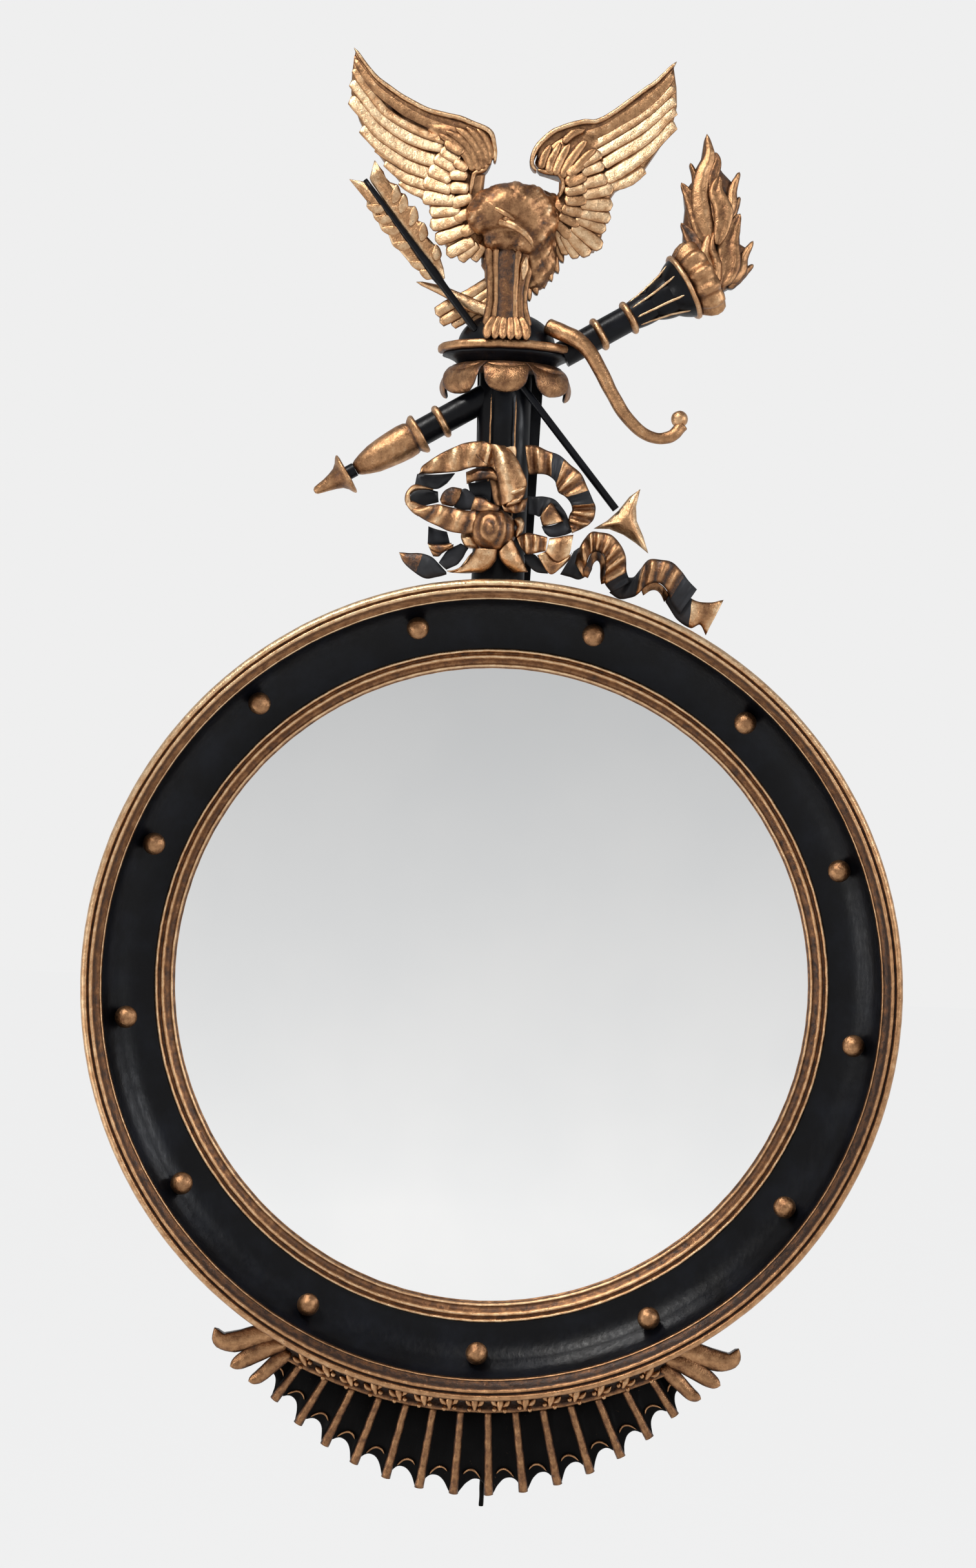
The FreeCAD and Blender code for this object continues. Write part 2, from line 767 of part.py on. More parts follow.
turned(
    "torch_grip",
    [
        (0, -84),
        (6.5, -84),
        (13.5, -62, -0.12),
        (16, -40, -0.05),
        (14.5, -28),
        (18, -24.5),
        (18, -21.5, 0.9),
        ("torch_radius", -20),
        ("torch_radius", -23),
        (0, -23),
    ],
    on_torch(),
)
turned("torch_neck", [(0, -91), (6, -91), (6, -84.2), (0, -84.2)], on_torch())
turned(
    "torch_finial",
    [(0, -124), (5, -121.5, 0.4), (9, -103), (12, -96, 0.15), (18, -93.5), (17, -91.2, 0.5), (0, -91.2)],
    on_torch(),
)
turned(
    "torch_cup",
    [
        (0, 184.2),
        ("torch_radius", 184.2),
        (13.5, 205, 0.08),
        (19, 222, 0.12),
        ("torch_cup_radius", 237, 0.1),
        (0, 237),
    ],
    on_torch(),
)
turned(
    "torch_rim",
    [
        (0, 237.2),
        ("torch_cup_radius + 1", 237.2),
        ("torch_rim_radius", 248, 0.25),
        ("torch_rim_radius - 6", 260, 0.25),
        (0, 260),
    ],
    on_torch(),
)

FLAME_TONGUES = [
    # each tongue: foot across and up, tip across and up, foot radius
    (165, 622, 154.5, 734, 21), (158, 640, 135, 690, 15), (172, 640, 184, 702, 15), (150, 625, 136, 657, 12),
    (176, 630, 198, 643, 12), (180, 622, 198, 624, 11),
]
tongues = []
for number, (foot_x, foot_z, tip_x, tip_z, radius) in enumerate(FLAME_TONGUES, 1):
    middle_x = foot_x * 0.45 + tip_x * 0.55
    middle_z = foot_z * 0.45 + tip_z * 0.55
    route = [
        (foot_x, 32, foot_z - 14, radius),
        (foot_x, 34, foot_z, radius),
        (middle_x, 34, middle_z, radius * 0.7),
        (tip_x, 33, tip_z, 1),
    ]
    tongues.append(carved(f"flame_tongue_{number}", rod(route)))
cup_and_rim = together("cup_and_rim", [piece for piece in nodes if piece.Label in ("torch_cup", "torch_rim")])
node(trimmed("flame_in_rim", joined("flame_tongues", tongues), cup_and_rim), "torch_flame")

# ---------------------------------------------------------------- ribbon

knot_place = at(value("knot_across"), value("knot_depth"), value("knot_up"))
knot = primitive("Part::Sphere", "knot_ball", {"Radius": "knot_radius"}, knot_place)
on_column = trimmed("knot_on_column", knot, column)
node(on_column, "ribbon_knot")

# each station: across, depth, up, width
RIBBONS = {
    "ribbon_front_fold": [
        (-14, 60, 452, 14), (-6, 62, 441, 20), (0, 62, 427, 20), (-2, 61, 413, 17), (-9, 62, 398, 14),
    ],
    "ribbon_left_loop": [
        (-20, 55, 447, 18), (-34, 54, 446, 20), (-52, 50, 440, 20), (-68, 46, 430, 19), (-78, 44, 415, 20),
        (-74, 46, 402, 19), (-60, 50, 394, 20), (-42, 54, 391, 19), (-24, 56, 389, 16),
    ],
    "ribbon_right_loop": [
        (16, 44, 446, 24), (32, 44, 444, 24), (46, 43, 434, 22), (56, 42, 421, 22), (60, 42, 407, 21),
        (56, 43, 395, 20), (46, 44, 386, 18),
    ],
    "ribbon_inner_loop": [
        (-2, 56, 404, 16), (12, 55, 404, 15), (26, 53, 403, 15), (38, 51, 397, 15), (45, 50, 386, 15),
        (44, 50, 373, 20), (38, 50, 360, 18),
    ],
    "ribbon_left_petal": [(-24, 62, 374, 14), (-32, 60, 365, 22), (-42, 56, 356, 14)],
    "ribbon_right_petal": [(-4, 62, 370, 12), (2, 60, 362, 18), (10, 58, 355, 14)],
    "ribbon_left_tail": [
        (-56, 42, 388, 16), (-60, 40, 372, 17), (-52, 40, 362, 14), (-44, 38, 356, 12), (-58, 37, 351, 13),
        (-72, 37, 353, 15), (-90, 38, 360, 12),
    ],
    "ribbon_right_tail": [
        (40, 42, 352, 12), (54, 41, 361, 15), (64, 40, 375, 16), (76, 40, 380, 15), (87, 40, 370, 16),
        (92, 41, 354, 15), (103, 42, 347, 13), (115, 42, 348, 13), (123, 41, 357, 13), (134, 40, 358, 13),
        (144, 40, 347, 15), (148, 41, 332, 16), (160, 42, 324, 17), (173, 42, 321, 22),
    ],
}
for name, stations in RIBBONS.items():
    band = carved(name + "_band", strip(stations, value("ribbon_thickness")))
    free = trimmed(name + "_beside_column", band, column)
    node(trimmed(name + "_under_knot", free, on_column), name)

# ---------------------------------------------------------------- apron

fan_centre = V(0, 0, value("fan_centre_up"))
EDGE_CENTRE_UP = -199
EDGE_RADIUS = 234
RIB_TOP_RADIUS = 365
rib_count = int(value("rib_count"))
rib_spread = 70


def fan_place(angle, centre_up, radius):
    """Where a rib at an angle from straight down meets a circle round (0, centre_up)."""
    drop = value("fan_centre_up") - centre_up
    reach = drop * math.cos(angle) + math.sqrt((drop * math.cos(angle)) ** 2 + radius ** 2 - drop ** 2)
    return fan_centre + V(math.sin(angle), 0, -math.cos(angle)) * reach


rib_angles = [math.radians(rib_spread * (number / (rib_count - 1) - 0.5)) for number in range(rib_count)]
inner = value("apron_inner_radius")
arc_angle = math.radians(33)
arc_bulge = math.tan(arc_angle / 2)
panel_outline = [(inner * math.sin(arc_angle), -inner * math.cos(arc_angle))]
panel_outline.append((-panel_outline[0][0], panel_outline[0][1], -arc_bulge))
panel_outline.append((-196, -326))
for angle in rib_angles:
    point = fan_place(angle, EDGE_CENTRE_UP, EDGE_RADIUS)
    panel_outline.append((point.x, point.z, -0.55))
panel_outline.append((196, -326, -0.55))
panel_blank = sawn("apron_panel_blank", panel_outline, "apron_back_depth", "apron_front_depth")
nodes.remove(panel_blank)

ribs = []
for number, angle in enumerate(rib_angles, 1):
    top = fan_place(angle, 0, RIB_TOP_RADIUS)
    bottom = fan_place(angle, EDGE_CENTRE_UP, EDGE_RADIUS - 1)
    bar = {"Radius": "rib_radius", "Height": (bottom - top).Length, "Angle": 180}
    downwards = FreeCAD.Rotation(V(0, 1, 0), 180 - math.degrees(angle))
    flat_side_back = FreeCAD.Rotation(V(0, 0, 1), 180)
    on_panel = top - V(0, value("apron_front_depth"), 0)
    place = FreeCAD.Placement(on_panel, downwards.multiply(flat_side_back))
    ribs.append(primitive("Part::Cylinder", f"apron_rib_{number:02d}", bar, place))
grouped("apron_ribs", ribs)

border_angle = math.radians(28)
border_outline = []
for radius, side in ((346, 1), (361, 1), (361, -1), (346, -1)):
    border_outline.append((side * radius * math.sin(border_angle), -radius * math.cos(border_angle)))
border_bulge = math.tan(border_angle / 2)
border_outline[2] += (-border_bulge,)
border_outline[0] += (border_bulge,)
border_parts = [sawn("apron_border_band", border_outline, 36, 42)]
nodes.remove(border_parts[0])
for number in range(15):
    angle = border_angle * (number / 7 - 1) * 0.97
    place = at(value("border_radius") * math.sin(angle), 42, -value("border_radius") * math.cos(angle))
    bead = {"Radius": "border_bead_radius"}
    border_parts.append(primitive("Part::Sphere", f"border_bead_{number + 1:02d}", bead, place))
behind = trimmed("apron_border_on_panel", joined("apron_border_parts", border_parts), panel_blank)
node(behind, "apron_border")

LEFT_LEAF = [
    (-182, -296, 0), (-205, -300, 0.1), (-224, -295, 0.2), (-228, -306, 0), (-221, -319, -0.2),
    (-205, -322, 0), (-212, -330, 0), (-198, -337, -0.3), (-190, -345, 0), (-178, -338, -0.2),
    (-170, -312, 0),
]
for name, side in (("apron_left_leaf", 1), ("apron_right_leaf", -1)):
    outline = [(side * x, z, side * bend) for x, z, bend in LEFT_LEAF]
    leaf_blank = sawn(name + "_blank", outline, 22, 42)
    nodes.remove(leaf_blank)
    beside_panel = trimmed(name + "_beside_panel", leaf_blank, panel_blank)
    node(trimmed(name + "_beside_border", beside_panel, behind), name)

peg = primitive("Part::Cylinder", "apron_peg_dowel", {"Radius": 3, "Height": 24}, at(9, 28, -445))
node(trimmed("apron_peg_in_panel", peg, panel_blank), "apron_peg")

# ---------------------------------------------------------------- iron work at the back

wood_screws = []


def screw(place):
    """A countersunk screw driven along local Z, its head flush with local Z = 0."""
    number = len(wood_screws) + 1
    head_size = {
        "Radius1": "screw_head_radius",
        "Radius2": "screw_radius",
        "Height": "screw_head_radius - screw_radius",
    }
    shank_size = {"Radius": "screw_radius", "Height": "screw_length"}
    head = primitive("Part::Cone", f"screw_head_{number}", head_size, place)
    shank = primitive("Part::Cylinder", f"screw_shank_{number}", shank_size, place)
    wood_screws.append(joined(f"screw_{number}", [head, shank]))


def into_wood(x, depth, z):
    """A screw driven forwards from the back."""
    screw(at(x, depth, z, V(1, 0, 0), 90))


strap_back = "board_back_depth - strap_thickness"
for up in (308, 325, 362, 458):
    into_wood(0, value(strap_back), up)
hanger_plate_thickness = 2
for up in (418, 432):
    into_wood(0, value(strap_back) - hanger_plate_thickness, up)

brackets = []
for turn in (-22, 0, 22):
    around = around_ring(turn)
    low = value("frame_side_radius") + 0.15
    width = value("bracket_width")
    leg = {"Length": "bracket_width", "Width": "bracket_leg / 2", "Height": "bracket_thickness"}
    foot = {"Length": "bracket_width", "Width": "bracket_thickness", "Height": "bracket_leg"}
    leg_place = around.multiply(at(-width / 2, value("apron_back_depth"), -low - value("bracket_thickness")))
    foot_place = around.multiply(at(-width / 2, value("apron_back_depth"), -low - value("bracket_leg")))
    number = len(brackets) + 1
    plates = [
        primitive("Part::Box", f"bracket_leg_{number}", leg, leg_place),
        primitive("Part::Box", f"bracket_foot_{number}", foot, foot_place),
    ]
    brackets.append(joined(f"bracket_{number}", plates))
    screw(around.multiply(at(0, 11, -low - value("bracket_thickness"))))
    screw(around.multiply(at(0, value("apron_back_depth - bracket_thickness"), -low - 20, V(1, 0, 0), 90)))
screws_in_wood = grouped("wood_screws", wood_screws)

strap_size = {"Length": "strap_width", "Width": "strap_thickness", "Height": "strap_top - strap_bottom"}
strap_place = at(-value("strap_width") / 2, value("board_back_depth"), value("strap_bottom"))
strap = primitive("Part::Box", "crest_strap_bar", strap_size, strap_place)
node(trimmed("crest_strap_drilled", strap, screws_in_wood), "crest_strap")
bracket_set = together("bracket_set", brackets)
node(trimmed("apron_brackets_drilled", bracket_set, screws_in_wood), "apron_brackets")
node(trimmed("crest_board_drilled", board_blank, screws_in_wood), "crest_board")
node(trimmed("apron_panel_drilled", panel_blank, screws_in_wood), "apron_panel")

housing_size = {"Length": "strap_width + 0.4", "Width": "board_back_depth + 1", "Height": 40}
housing_place = at(-value("strap_width") / 2 - 0.2, value("board_back_depth"), value("strap_bottom") - 0.5)
housing = primitive("Part::Box", "strap_housing", housing_size, housing_place)
ring_tools = together("ring_tools", [housing, ball_pins, button_screws, screws_in_wood])
node(trimmed("frame_ring_finished", ring_blank, ring_tools), "frame_ring")

# ---------------------------------------------------------------- hanging plate and D ring

knuckle_length = 16
knuckle_place = at(-knuckle_length / 2, value("hanger_bar_depth"), value("hanger_up"), V(0, 1, 0), 90)
plate_size = {"Length": 24, "Width": hanger_plate_thickness, "Height": 44}
plate_place = at(-12, value(strap_back), value("hanger_up") - 5)
knuckle_reach = value(strap_back) - value("hanger_bar_depth")
web_size = {"Length": knuckle_length, "Width": knuckle_reach, "Height": "2 * hanger_knuckle_radius"}
web_place = at(-knuckle_length / 2, value(strap_back), value("hanger_up") - value("hanger_knuckle_radius"))
knuckle_size = {"Radius": "hanger_knuckle_radius", "Height": knuckle_length}
bore_size = {"Radius": "hanger_bore_radius", "Height": knuckle_length}
plate_parts = [
    primitive("Part::Box", "hanger_back", plate_size, plate_place),
    primitive("Part::Box", "hanger_web", web_size, web_place),
    primitive("Part::Cylinder", "hanger_knuckle", knuckle_size, knuckle_place),
]
hanger_bore = primitive("Part::Cylinder", "hanger_bore", bore_size, knuckle_place)
hanger_tools = together("hanger_tools", [hanger_bore, screws_in_wood])
node(trimmed("hanger_plate_drilled", joined("hanger_plate_solid", plate_parts), hanger_tools), "hanger_plate")

reach = value("hanger_ring_radius")
wire = {"Radius": "hanger_bar_radius"}
bar_place = at(-reach, value("hanger_bar_depth"), value("hanger_up"), V(0, 1, 0), 90)
bar = dict(wire, Height="2 * hanger_ring_radius")
arm = dict(wire, Height="hanger_drop")
ring_parts = [primitive("Part::Cylinder", "hanger_bar", bar, bar_place)]
for side in (-1, 1):
    low_place = at(side * reach, value("hanger_bar_depth"), value("hanger_up - hanger_drop"))
    word = "left" if side < 0 else "right"
    ring_parts.append(primitive("Part::Cylinder", f"hanger_{word}_arm", arm, low_place))
    corner = at(side * reach, value("hanger_bar_depth"), value("hanger_up"))
    ring_parts.append(primitive("Part::Sphere", f"hanger_{word}_corner", wire, corner))
bow_size = {"Radius1": "hanger_ring_radius", "Radius2": "hanger_bar_radius", "Angle3": 180}
bow_place = at(0, value("hanger_bar_depth"), value("hanger_up - hanger_drop"), V(1, 0, 0), -90)
ring_parts.append(primitive("Part::Torus", "hanger_bend", bow_size, bow_place))
node(joined("hanger_d_ring", ring_parts), "hanger_ring")

# ---------------------------------------------------------------- write
doc.recompute()
faults = [thing.Name for thing in doc.Objects if "Invalid" in thing.State or "Error" in thing.State]
for piece in nodes:
    if piece.Shape.isNull() or not piece.Shape.isValid() or piece.Shape.Volume <= 0:
        faults.append(piece.Label)
if faults:
    raise SystemExit("not sound: " + ", ".join(faults))
os.makedirs("parts", exist_ok=True)
for piece in nodes:
    piece.Shape.exportStep(f"parts/{piece.Label}.step")
print(len(nodes), "nodes")
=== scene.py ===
import json
import math

import bmesh
import bpy
import numpy as np
from mathutils import Matrix, Vector


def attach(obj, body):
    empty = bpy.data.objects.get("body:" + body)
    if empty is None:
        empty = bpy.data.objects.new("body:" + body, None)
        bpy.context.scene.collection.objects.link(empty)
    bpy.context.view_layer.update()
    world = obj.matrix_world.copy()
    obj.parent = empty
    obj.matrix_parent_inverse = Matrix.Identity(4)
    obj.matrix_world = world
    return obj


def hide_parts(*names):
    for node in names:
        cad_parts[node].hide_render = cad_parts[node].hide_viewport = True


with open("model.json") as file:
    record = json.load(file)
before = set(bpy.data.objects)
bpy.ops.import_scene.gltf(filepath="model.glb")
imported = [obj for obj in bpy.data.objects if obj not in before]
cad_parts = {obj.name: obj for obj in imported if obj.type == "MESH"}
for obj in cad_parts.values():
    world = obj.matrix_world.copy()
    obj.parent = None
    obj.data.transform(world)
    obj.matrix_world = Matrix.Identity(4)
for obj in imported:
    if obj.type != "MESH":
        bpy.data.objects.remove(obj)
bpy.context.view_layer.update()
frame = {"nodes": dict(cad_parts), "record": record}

# A girandole mirror: gilt carving over an ebonised ring, with a convex glass.
# Outlines are written in millimetres as (across, up), as seen on a plane in front of the wall;
# set_at() carries them along the line of sight to the depth where the piece really is.

MM = 0.001

# where the eye stands in front of the wall, its tilt in degrees, and its lens in the picture's pixels
VIEW_ACROSS = -9.8
VIEW_UP = 172.3
VIEW_AWAY = 2000.0
VIEW_ROLL = 2.3
PHOTO_HEIGHT = 2430
FOCAL_PIXELS = 3573
SENSOR_WIDTH = 36.0

# the depth at which most outlines were read
SEEN_PLANE = 50.0

LIP_RADIUS = 328.0
SLIP_RADIUS = 289.0
BALL_COUNT = 13
BALL_RADIUS = 9.5


# ---------------------------------------------------------------- shapes in numbers


def smooth_path(points, count):
    """Evenly numbered stations on a smooth curve through the points."""
    known = np.array(points, float)
    if len(known) == 2:
        return known[0] + (known[1] - known[0]) * np.linspace(0, 1, count)[:, None]
    padded = np.vstack([2 * known[0] - known[1], known, 2 * known[-1] - known[-2]])
    places = np.linspace(0, len(known) - 1, count)
    first = np.minimum(places.astype(int), len(known) - 2)
    t = (places - first)[:, None]
    a, b, c, d = (padded[first + step] for step in range(4))
    return 0.5 * (2 * b + (c - a) * t + (2 * a - 5 * b + 4 * c - d) * t**2 + (3 * b - a - 3 * c + d) * t**3)


def set_at(across, up, depth, plane=SEEN_PLANE):
    """Carry a place seen on one plane along the line of sight to another depth."""
    scale = (VIEW_AWAY - depth) / (VIEW_AWAY - plane)
    return VIEW_ACROSS + (across - VIEW_ACROSS) * scale, VIEW_UP + (up - VIEW_UP) * scale


def seen(points, plane=SEEN_PLANE):
    """(across, depth, up) stations at their own depth, from places seen on one plane."""
    placed = []
    for across, depth, up, *rest in points:
        x, z = set_at(across, up, depth, plane)
        placed.append((x, depth, z, *rest))
    return placed


def hand_worked(points, amount):
    """The small unevenness of a hand-cut surface."""
    x, d, z = points.T
    drift = np.stack(
        [
            np.sin(0.31 * z + 0.17 * d) + 0.6 * np.sin(0.73 * x + 0.41 * z),
            np.sin(0.27 * x + 0.23 * z) + 0.6 * np.sin(0.61 * z - 0.53 * x),
            np.sin(0.29 * x + 0.19 * d) + 0.6 * np.sin(0.67 * z + 0.47 * x),
        ],
        axis=1,
    )
    return points + drift * amount


class Carving:
    """One carved piece: closed forms gathered with the two values that its finish follows.
    relief is painted shade and rub: 0 in a hollow, which the gilt darkens as painted shade, and 1 on a
    rubbed edge; tone is 0 for dull and 1 for bright leaf, and in places it paints light and shade."""

    def __init__(self):
        self.points = []
        self.faces = []
        self.relief = []
        self.tone = []
        self.finish = []
        self.count = 0

    def add(self, points, faces, relief, tone, finish=0):
        """points are (across, depth, up) in millimetres."""
        self.points.append(np.asarray(points, float))
        self.faces += [tuple(index + self.count for index in face) for face in faces]
        self.relief.append(np.broadcast_to(relief, len(points)))
        self.tone.append(np.broadcast_to(tone, len(points)))
        self.finish += [finish] * len(faces) if isinstance(finish, int) else list(finish)
        self.count += len(points)

    def swing(self, first, degrees, x, depth):
        """Turn the forms added since the first about an upright line."""
        turn = math.radians(degrees)
        for number in range(first, len(self.points)):
            rows = self.points[number] - (x, depth, 0)
            across = rows[:, 0] * math.cos(turn) + rows[:, 1] * math.sin(turn)
            away = rows[:, 1] * math.cos(turn) - rows[:, 0] * math.sin(turn)
            self.points[number] = np.stack([across + x, away + depth, rows[:, 2]], axis=1)

    def mesh(self, name, finishes, uneven):
        points = hand_worked(np.vstack(self.points), uneven)
        mesh = bpy.data.meshes.new(name)
        mesh.from_pydata((points * (MM, -MM, MM)).tolist(), [], self.faces)
        for label, values in (("relief", self.relief), ("tone", self.tone)):
            layer = mesh.attributes.new(label, "FLOAT", "POINT")
            layer.data.foreach_set("value", np.concatenate(values).astype(np.float32))
        for finish in finishes:
            mesh.materials.append(finish)
        mesh.polygons.foreach_set("material_index", self.finish)
        mesh.polygons.foreach_set("use_smooth", [True] * len(mesh.polygons))
        outwards = bmesh.new()
        outwards.from_mesh(mesh)
        bmesh.ops.recalc_face_normals(outwards, faces=outwards.faces)
        outwards.to_mesh(mesh)
        outwards.free()
        return mesh

    def piece(self, name, finishes, nodes=(), slot=None, uneven=0.12):
        return dressed(name, self.mesh(name, finishes, uneven), nodes=nodes)


def dressed(name, mesh, body="frame", nodes=()):
    """A finished mesh becomes a piece that rides on its body and stands for its nodes."""
    piece = bpy.data.objects.new(name, mesh)
    bpy.context.scene.collection.objects.link(piece)
    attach(piece, body)
    if nodes:
        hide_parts(*nodes)
    return piece


def tube_faces(rings, around):
    """Quads between closed rings, and one face over each end."""
    faces = []
    for ring in range(rings - 1):
        for place in range(around):
            after = (place + 1) % around
            low = ring * around
            faces.append((low + place, low + around + place, low + around + after, low + after))
    faces.append(tuple(range(around)))
    faces.append(tuple(reversed(range((rings - 1) * around, rings * around))))
    return faces


def frame_along(path):
    """Across and forward directions for each station of a path that lies along the wall."""
    travel = np.gradient(path, axis=0)
    travel[:, 1] = 0
    travel /= np.linalg.norm(travel, axis=1)[:, None] + 1e-9
    return np.stack([travel[:, 2], np.zeros(len(path)), -travel[:, 0]], axis=1)


FORWARD = np.array([0.0, 1.0, 0.0])


def blade(carving, spine, widths, crown=2.5, back=3.0, tone=0.8, tip=0.2, root=0.06, rib=0.0, lean=0.0,
          stations=20, across=9, plane=SEEN_PLANE, relief=(0.0, 1.0), place=True,
          square=0.6, hollow=0.0, lining=None):
    """A feather, leaf or tongue: a crowned front over a flat back, along a spine of (across, depth, up).
    tip and root are the shares of its length over which it rounds off at each end; lining is the finish
    of its back."""
    path = smooth_path(seen(spine, plane) if place else spine, stations)
    share = np.linspace(0, 1, stations)
    half = np.interp(share, np.linspace(0, 1, len(widths)), widths) / 2
    if tip:
        half = half * np.sqrt(1 - np.clip((share - 1 + tip) / tip, 0, 0.995) ** 2)
    if root:
        half = half * np.sqrt(1 - np.clip((root - share) / root, 0, 0.9) ** 2)
    side = frame_along(path)
    side = side * math.cos(math.radians(lean)) + FORWARD * math.sin(math.radians(lean))
    u = np.sin(np.linspace(-1, 1, across) * math.pi / 2)
    arch = (1 - u**2) ** square
    dish = np.exp(-((u / 0.5) ** 2))
    ridge = np.exp(-((u / 0.2) ** 2))
    size = np.clip(half / (half.max() + 1e-9), 0, 1) ** 0.5
    rise = size[:, None] * (crown * arch + rib * ridge - hollow * dish)[None, :]
    front = path[:, None, :] + side[:, None, :] * (half[:, None]
        * u[None, :])[..., None] + FORWARD * rise[..., None]
    under = np.array([0.8, 0.0, -0.8])
    depth = size[:, None, None] * back * FORWARD
    rear = path[:, None, :] + side[:, None, :] * (half[:, None] * under[None, :])[..., None] - depth
    rings = np.concatenate([front, rear], axis=1)
    # painted shade in the relief: darker towards the edges and in a dished hollow, brighter along a rib; the
    # back stays dull
    height = np.clip(0.85 * (1 - u**2) ** 0.35 + 0.3 * ridge * np.sign(rib) - 0.5 * dish * (hollow > 0)
        + 0.15, 0, 1)
    height = relief[0] + (relief[1] - relief[0]) * height
    height = np.broadcast_to(np.concatenate([height, [0.2, 0.3, 0.2]]), rings.shape[:2])
    around = across + 3
    faces = tube_faces(stations, around)
    marks = 0
    if lining is not None:
        marks = [lining if number % around >= across - 1 else 0 for number in range(len(faces))]
    carving.add(rings.reshape(-1, 3), faces, height.reshape(-1), tone, marks)


def drape(carving, edge_a, edge_b, depths, pleats=0.0, fold=1.6, belly=1.5, thick=4.0, tone=0.8, finish=0,
          stations=28, across=9, dark=(), flutes=0.0, groove=0.0, slant=0.0):
    """A band of cloth between two edges of (across, up). depths run along it; pleats lie across it, leaning
    by slant; flutes are cut along it, as deep as groove; dark holds the shares of its length that show
    the ribbon's black side."""
    outline = [smooth_path(edge, stations) for edge in (edge_a, edge_b)]
    share = np.linspace(0, 1, stations)
    depth = np.interp(share, np.linspace(0, 1, len(depths)), depths)
    u = np.linspace(0, 1, across)
    wave = 0.5 + 0.5 * np.cos(2 * math.pi * (pleats * share[:, None] + slant * (u[None, :] - 0.5)))
    arch = 1 - (2 * u - 1) ** 2
    flat = outline[0][:, None, :] * (1 - u)[None, :, None] + outline[1][:, None, :] * u[None, :, None]
    rise = depth[:, None] + belly * arch[None, :] + fold * (wave - 0.5) * (0.6 + 0.4 * arch[None, :])
    ripple = 0.5 - 0.5 * np.cos(2 * math.pi * flutes * u)
    rise = rise + groove * (ripple[None, :] - 0.5) * np.clip(share * 2, 0.3, 1)[:, None]
    front = np.empty((stations, across, 3))
    scale = (VIEW_AWAY - rise) / (VIEW_AWAY - SEEN_PLANE)
    front[..., 0] = VIEW_ACROSS + (flat[..., 0] - VIEW_ACROSS) * scale
    front[..., 1] = rise
    front[..., 2] = VIEW_UP + (flat[..., 1] - VIEW_UP) * scale
    rear = front[:, [-1, across // 2, 0], :].copy()
    rear[..., 1] -= thick + (belly + fold) * np.array([0.0, 0.6, 0.0])
    middle = front[:, across // 2, :]
    rear[:, [0, 2], :] += (middle[:, None, :] - rear[:, [0, 2], :]) * (0.08, 0, 0.08)
    rings = np.concatenate([front, rear], axis=1)
    # painted shade in the relief: darker in the pleats' valleys, along the band's edges and down its flutes;
    # the back stays dull
    edge_fade = np.clip(5 * np.minimum(u, 1 - u) + 0.35, 0, 1)
    height = (0.25 + 0.75 * wave) * edge_fade[None, :] if pleats else np.broadcast_to(edge_fade,
        (stations, across))
    if flutes:
        height = height * (0.35 + 0.65 * ripple[None, :])
    height = np.concatenate([height, np.full((stations, 3), 0.2)], axis=1)
    around = across + 3
    faces = tube_faces(stations, around)
    marks = []
    for number in range(len(faces)):
        place = min(number // around, stations - 1) / (stations - 1)
        marks.append(1 if any(low <= place < high for low, high in dark) else finish)
    carving.add(rings.reshape(-1, 3), faces, height.reshape(-1), tone, marks)


def rod(carving, stations, tone=0.8, around=14, count=40, plane=SEEN_PLANE, relief=0.75):
    """A round tapering stem through (across, depth, up, radius)."""
    path = smooth_path(seen(stations, plane), count)
    centre, radius = path[:, :3], path[:, 3]
    travel = np.gradient(centre, axis=0)
    travel /= np.linalg.norm(travel, axis=1)[:, None] + 1e-9
    side = np.cross(travel, FORWARD)
    side /= np.linalg.norm(side, axis=1)[:, None] + 1e-9
    up = np.cross(side, travel)
    angle = np.linspace(0, 2 * math.pi, around, endpoint=False)
    rings = centre[:, None, :] + side[:, None, :] * (radius[:, None] * np.cos(angle))[..., None]
    rings = rings + up[:, None, :] * (radius[:, None] * np.sin(angle))[..., None]
    # painted shade round the stem: the relief is highest on its front and lower round its sides and back
    height = np.broadcast_to(relief * (0.7 + 0.3 * np.sin(angle))[None, :], rings.shape[:2])
    carving.add(rings.reshape(-1, 3), tube_faces(count, around), height.reshape(-1), tone)


def turned(carving, profile, segments=180, place=None, wobble=0.0, tone=0.8, flute=None, quarter_light=None):
    """A turned form from (radius, height, relief) about its own axis; a profile that starts and ends on the
    axis closes there, any other closes on itself. place is a matrix that sets it in the frame; flute is a
    count and a depth; tones are painted light and shade, the brightness at four quarters."""
    rows = np.array(profile, float)
    angle = np.linspace(0, 2 * math.pi, segments, endpoint=False)
    drift = wobble * (np.sin(3 * angle + 1) + 0.7 * np.sin(7 * angle + 2) + 0.5 * np.sin(19 * angle) + 0.3
        * np.sin(43 * angle))
    radius = rows[:, 0][:, None] + drift[None, :] * (rows[:, 0] > 1)[:, None]
    if flute:
        count, deep = flute
        radius = radius * (1 - deep * (0.5 - 0.5 * np.cos(count * angle))[None, :])
    height = np.broadcast_to(rows[:, 1][:, None], radius.shape) + 0.5 * drift[None, :]
    rings = np.stack([radius * np.cos(angle), radius * np.sin(angle), height], axis=2)
    relief = np.broadcast_to(rows[:, 2][:, None], radius.shape)
    closed = rows[0, 0] > 1e-6 or rows[-1, 0] > 1e-6
    steps = len(rows)
    faces = []
    for ring in range(steps if closed else steps - 1):
        low, high = ring * segments, (ring + 1) % steps * segments
        for step in range(segments):
            after = (step + 1) % segments
            faces.append((low + step, low + after, high + after, high + step))
    points = rings.reshape(-1, 3)
    if not closed:
        points, faces, relief = with_poles(rings, faces, relief)
    if place is not None:
        turn = np.array(place)
        points = points @ turn[:3, :3].T + turn[:3, 3]
    # painted light and shade round the ring, from the four quarters' brightness
    if quarter_light:
        angles = np.degrees(angle) % 360
        around = np.interp(angles, [0, 90, 180, 270, 360], [*quarter_light, quarter_light[0]])
        tone = np.tile(around, steps)
    carving.add(points, faces, np.asarray(relief).reshape(-1), tone)


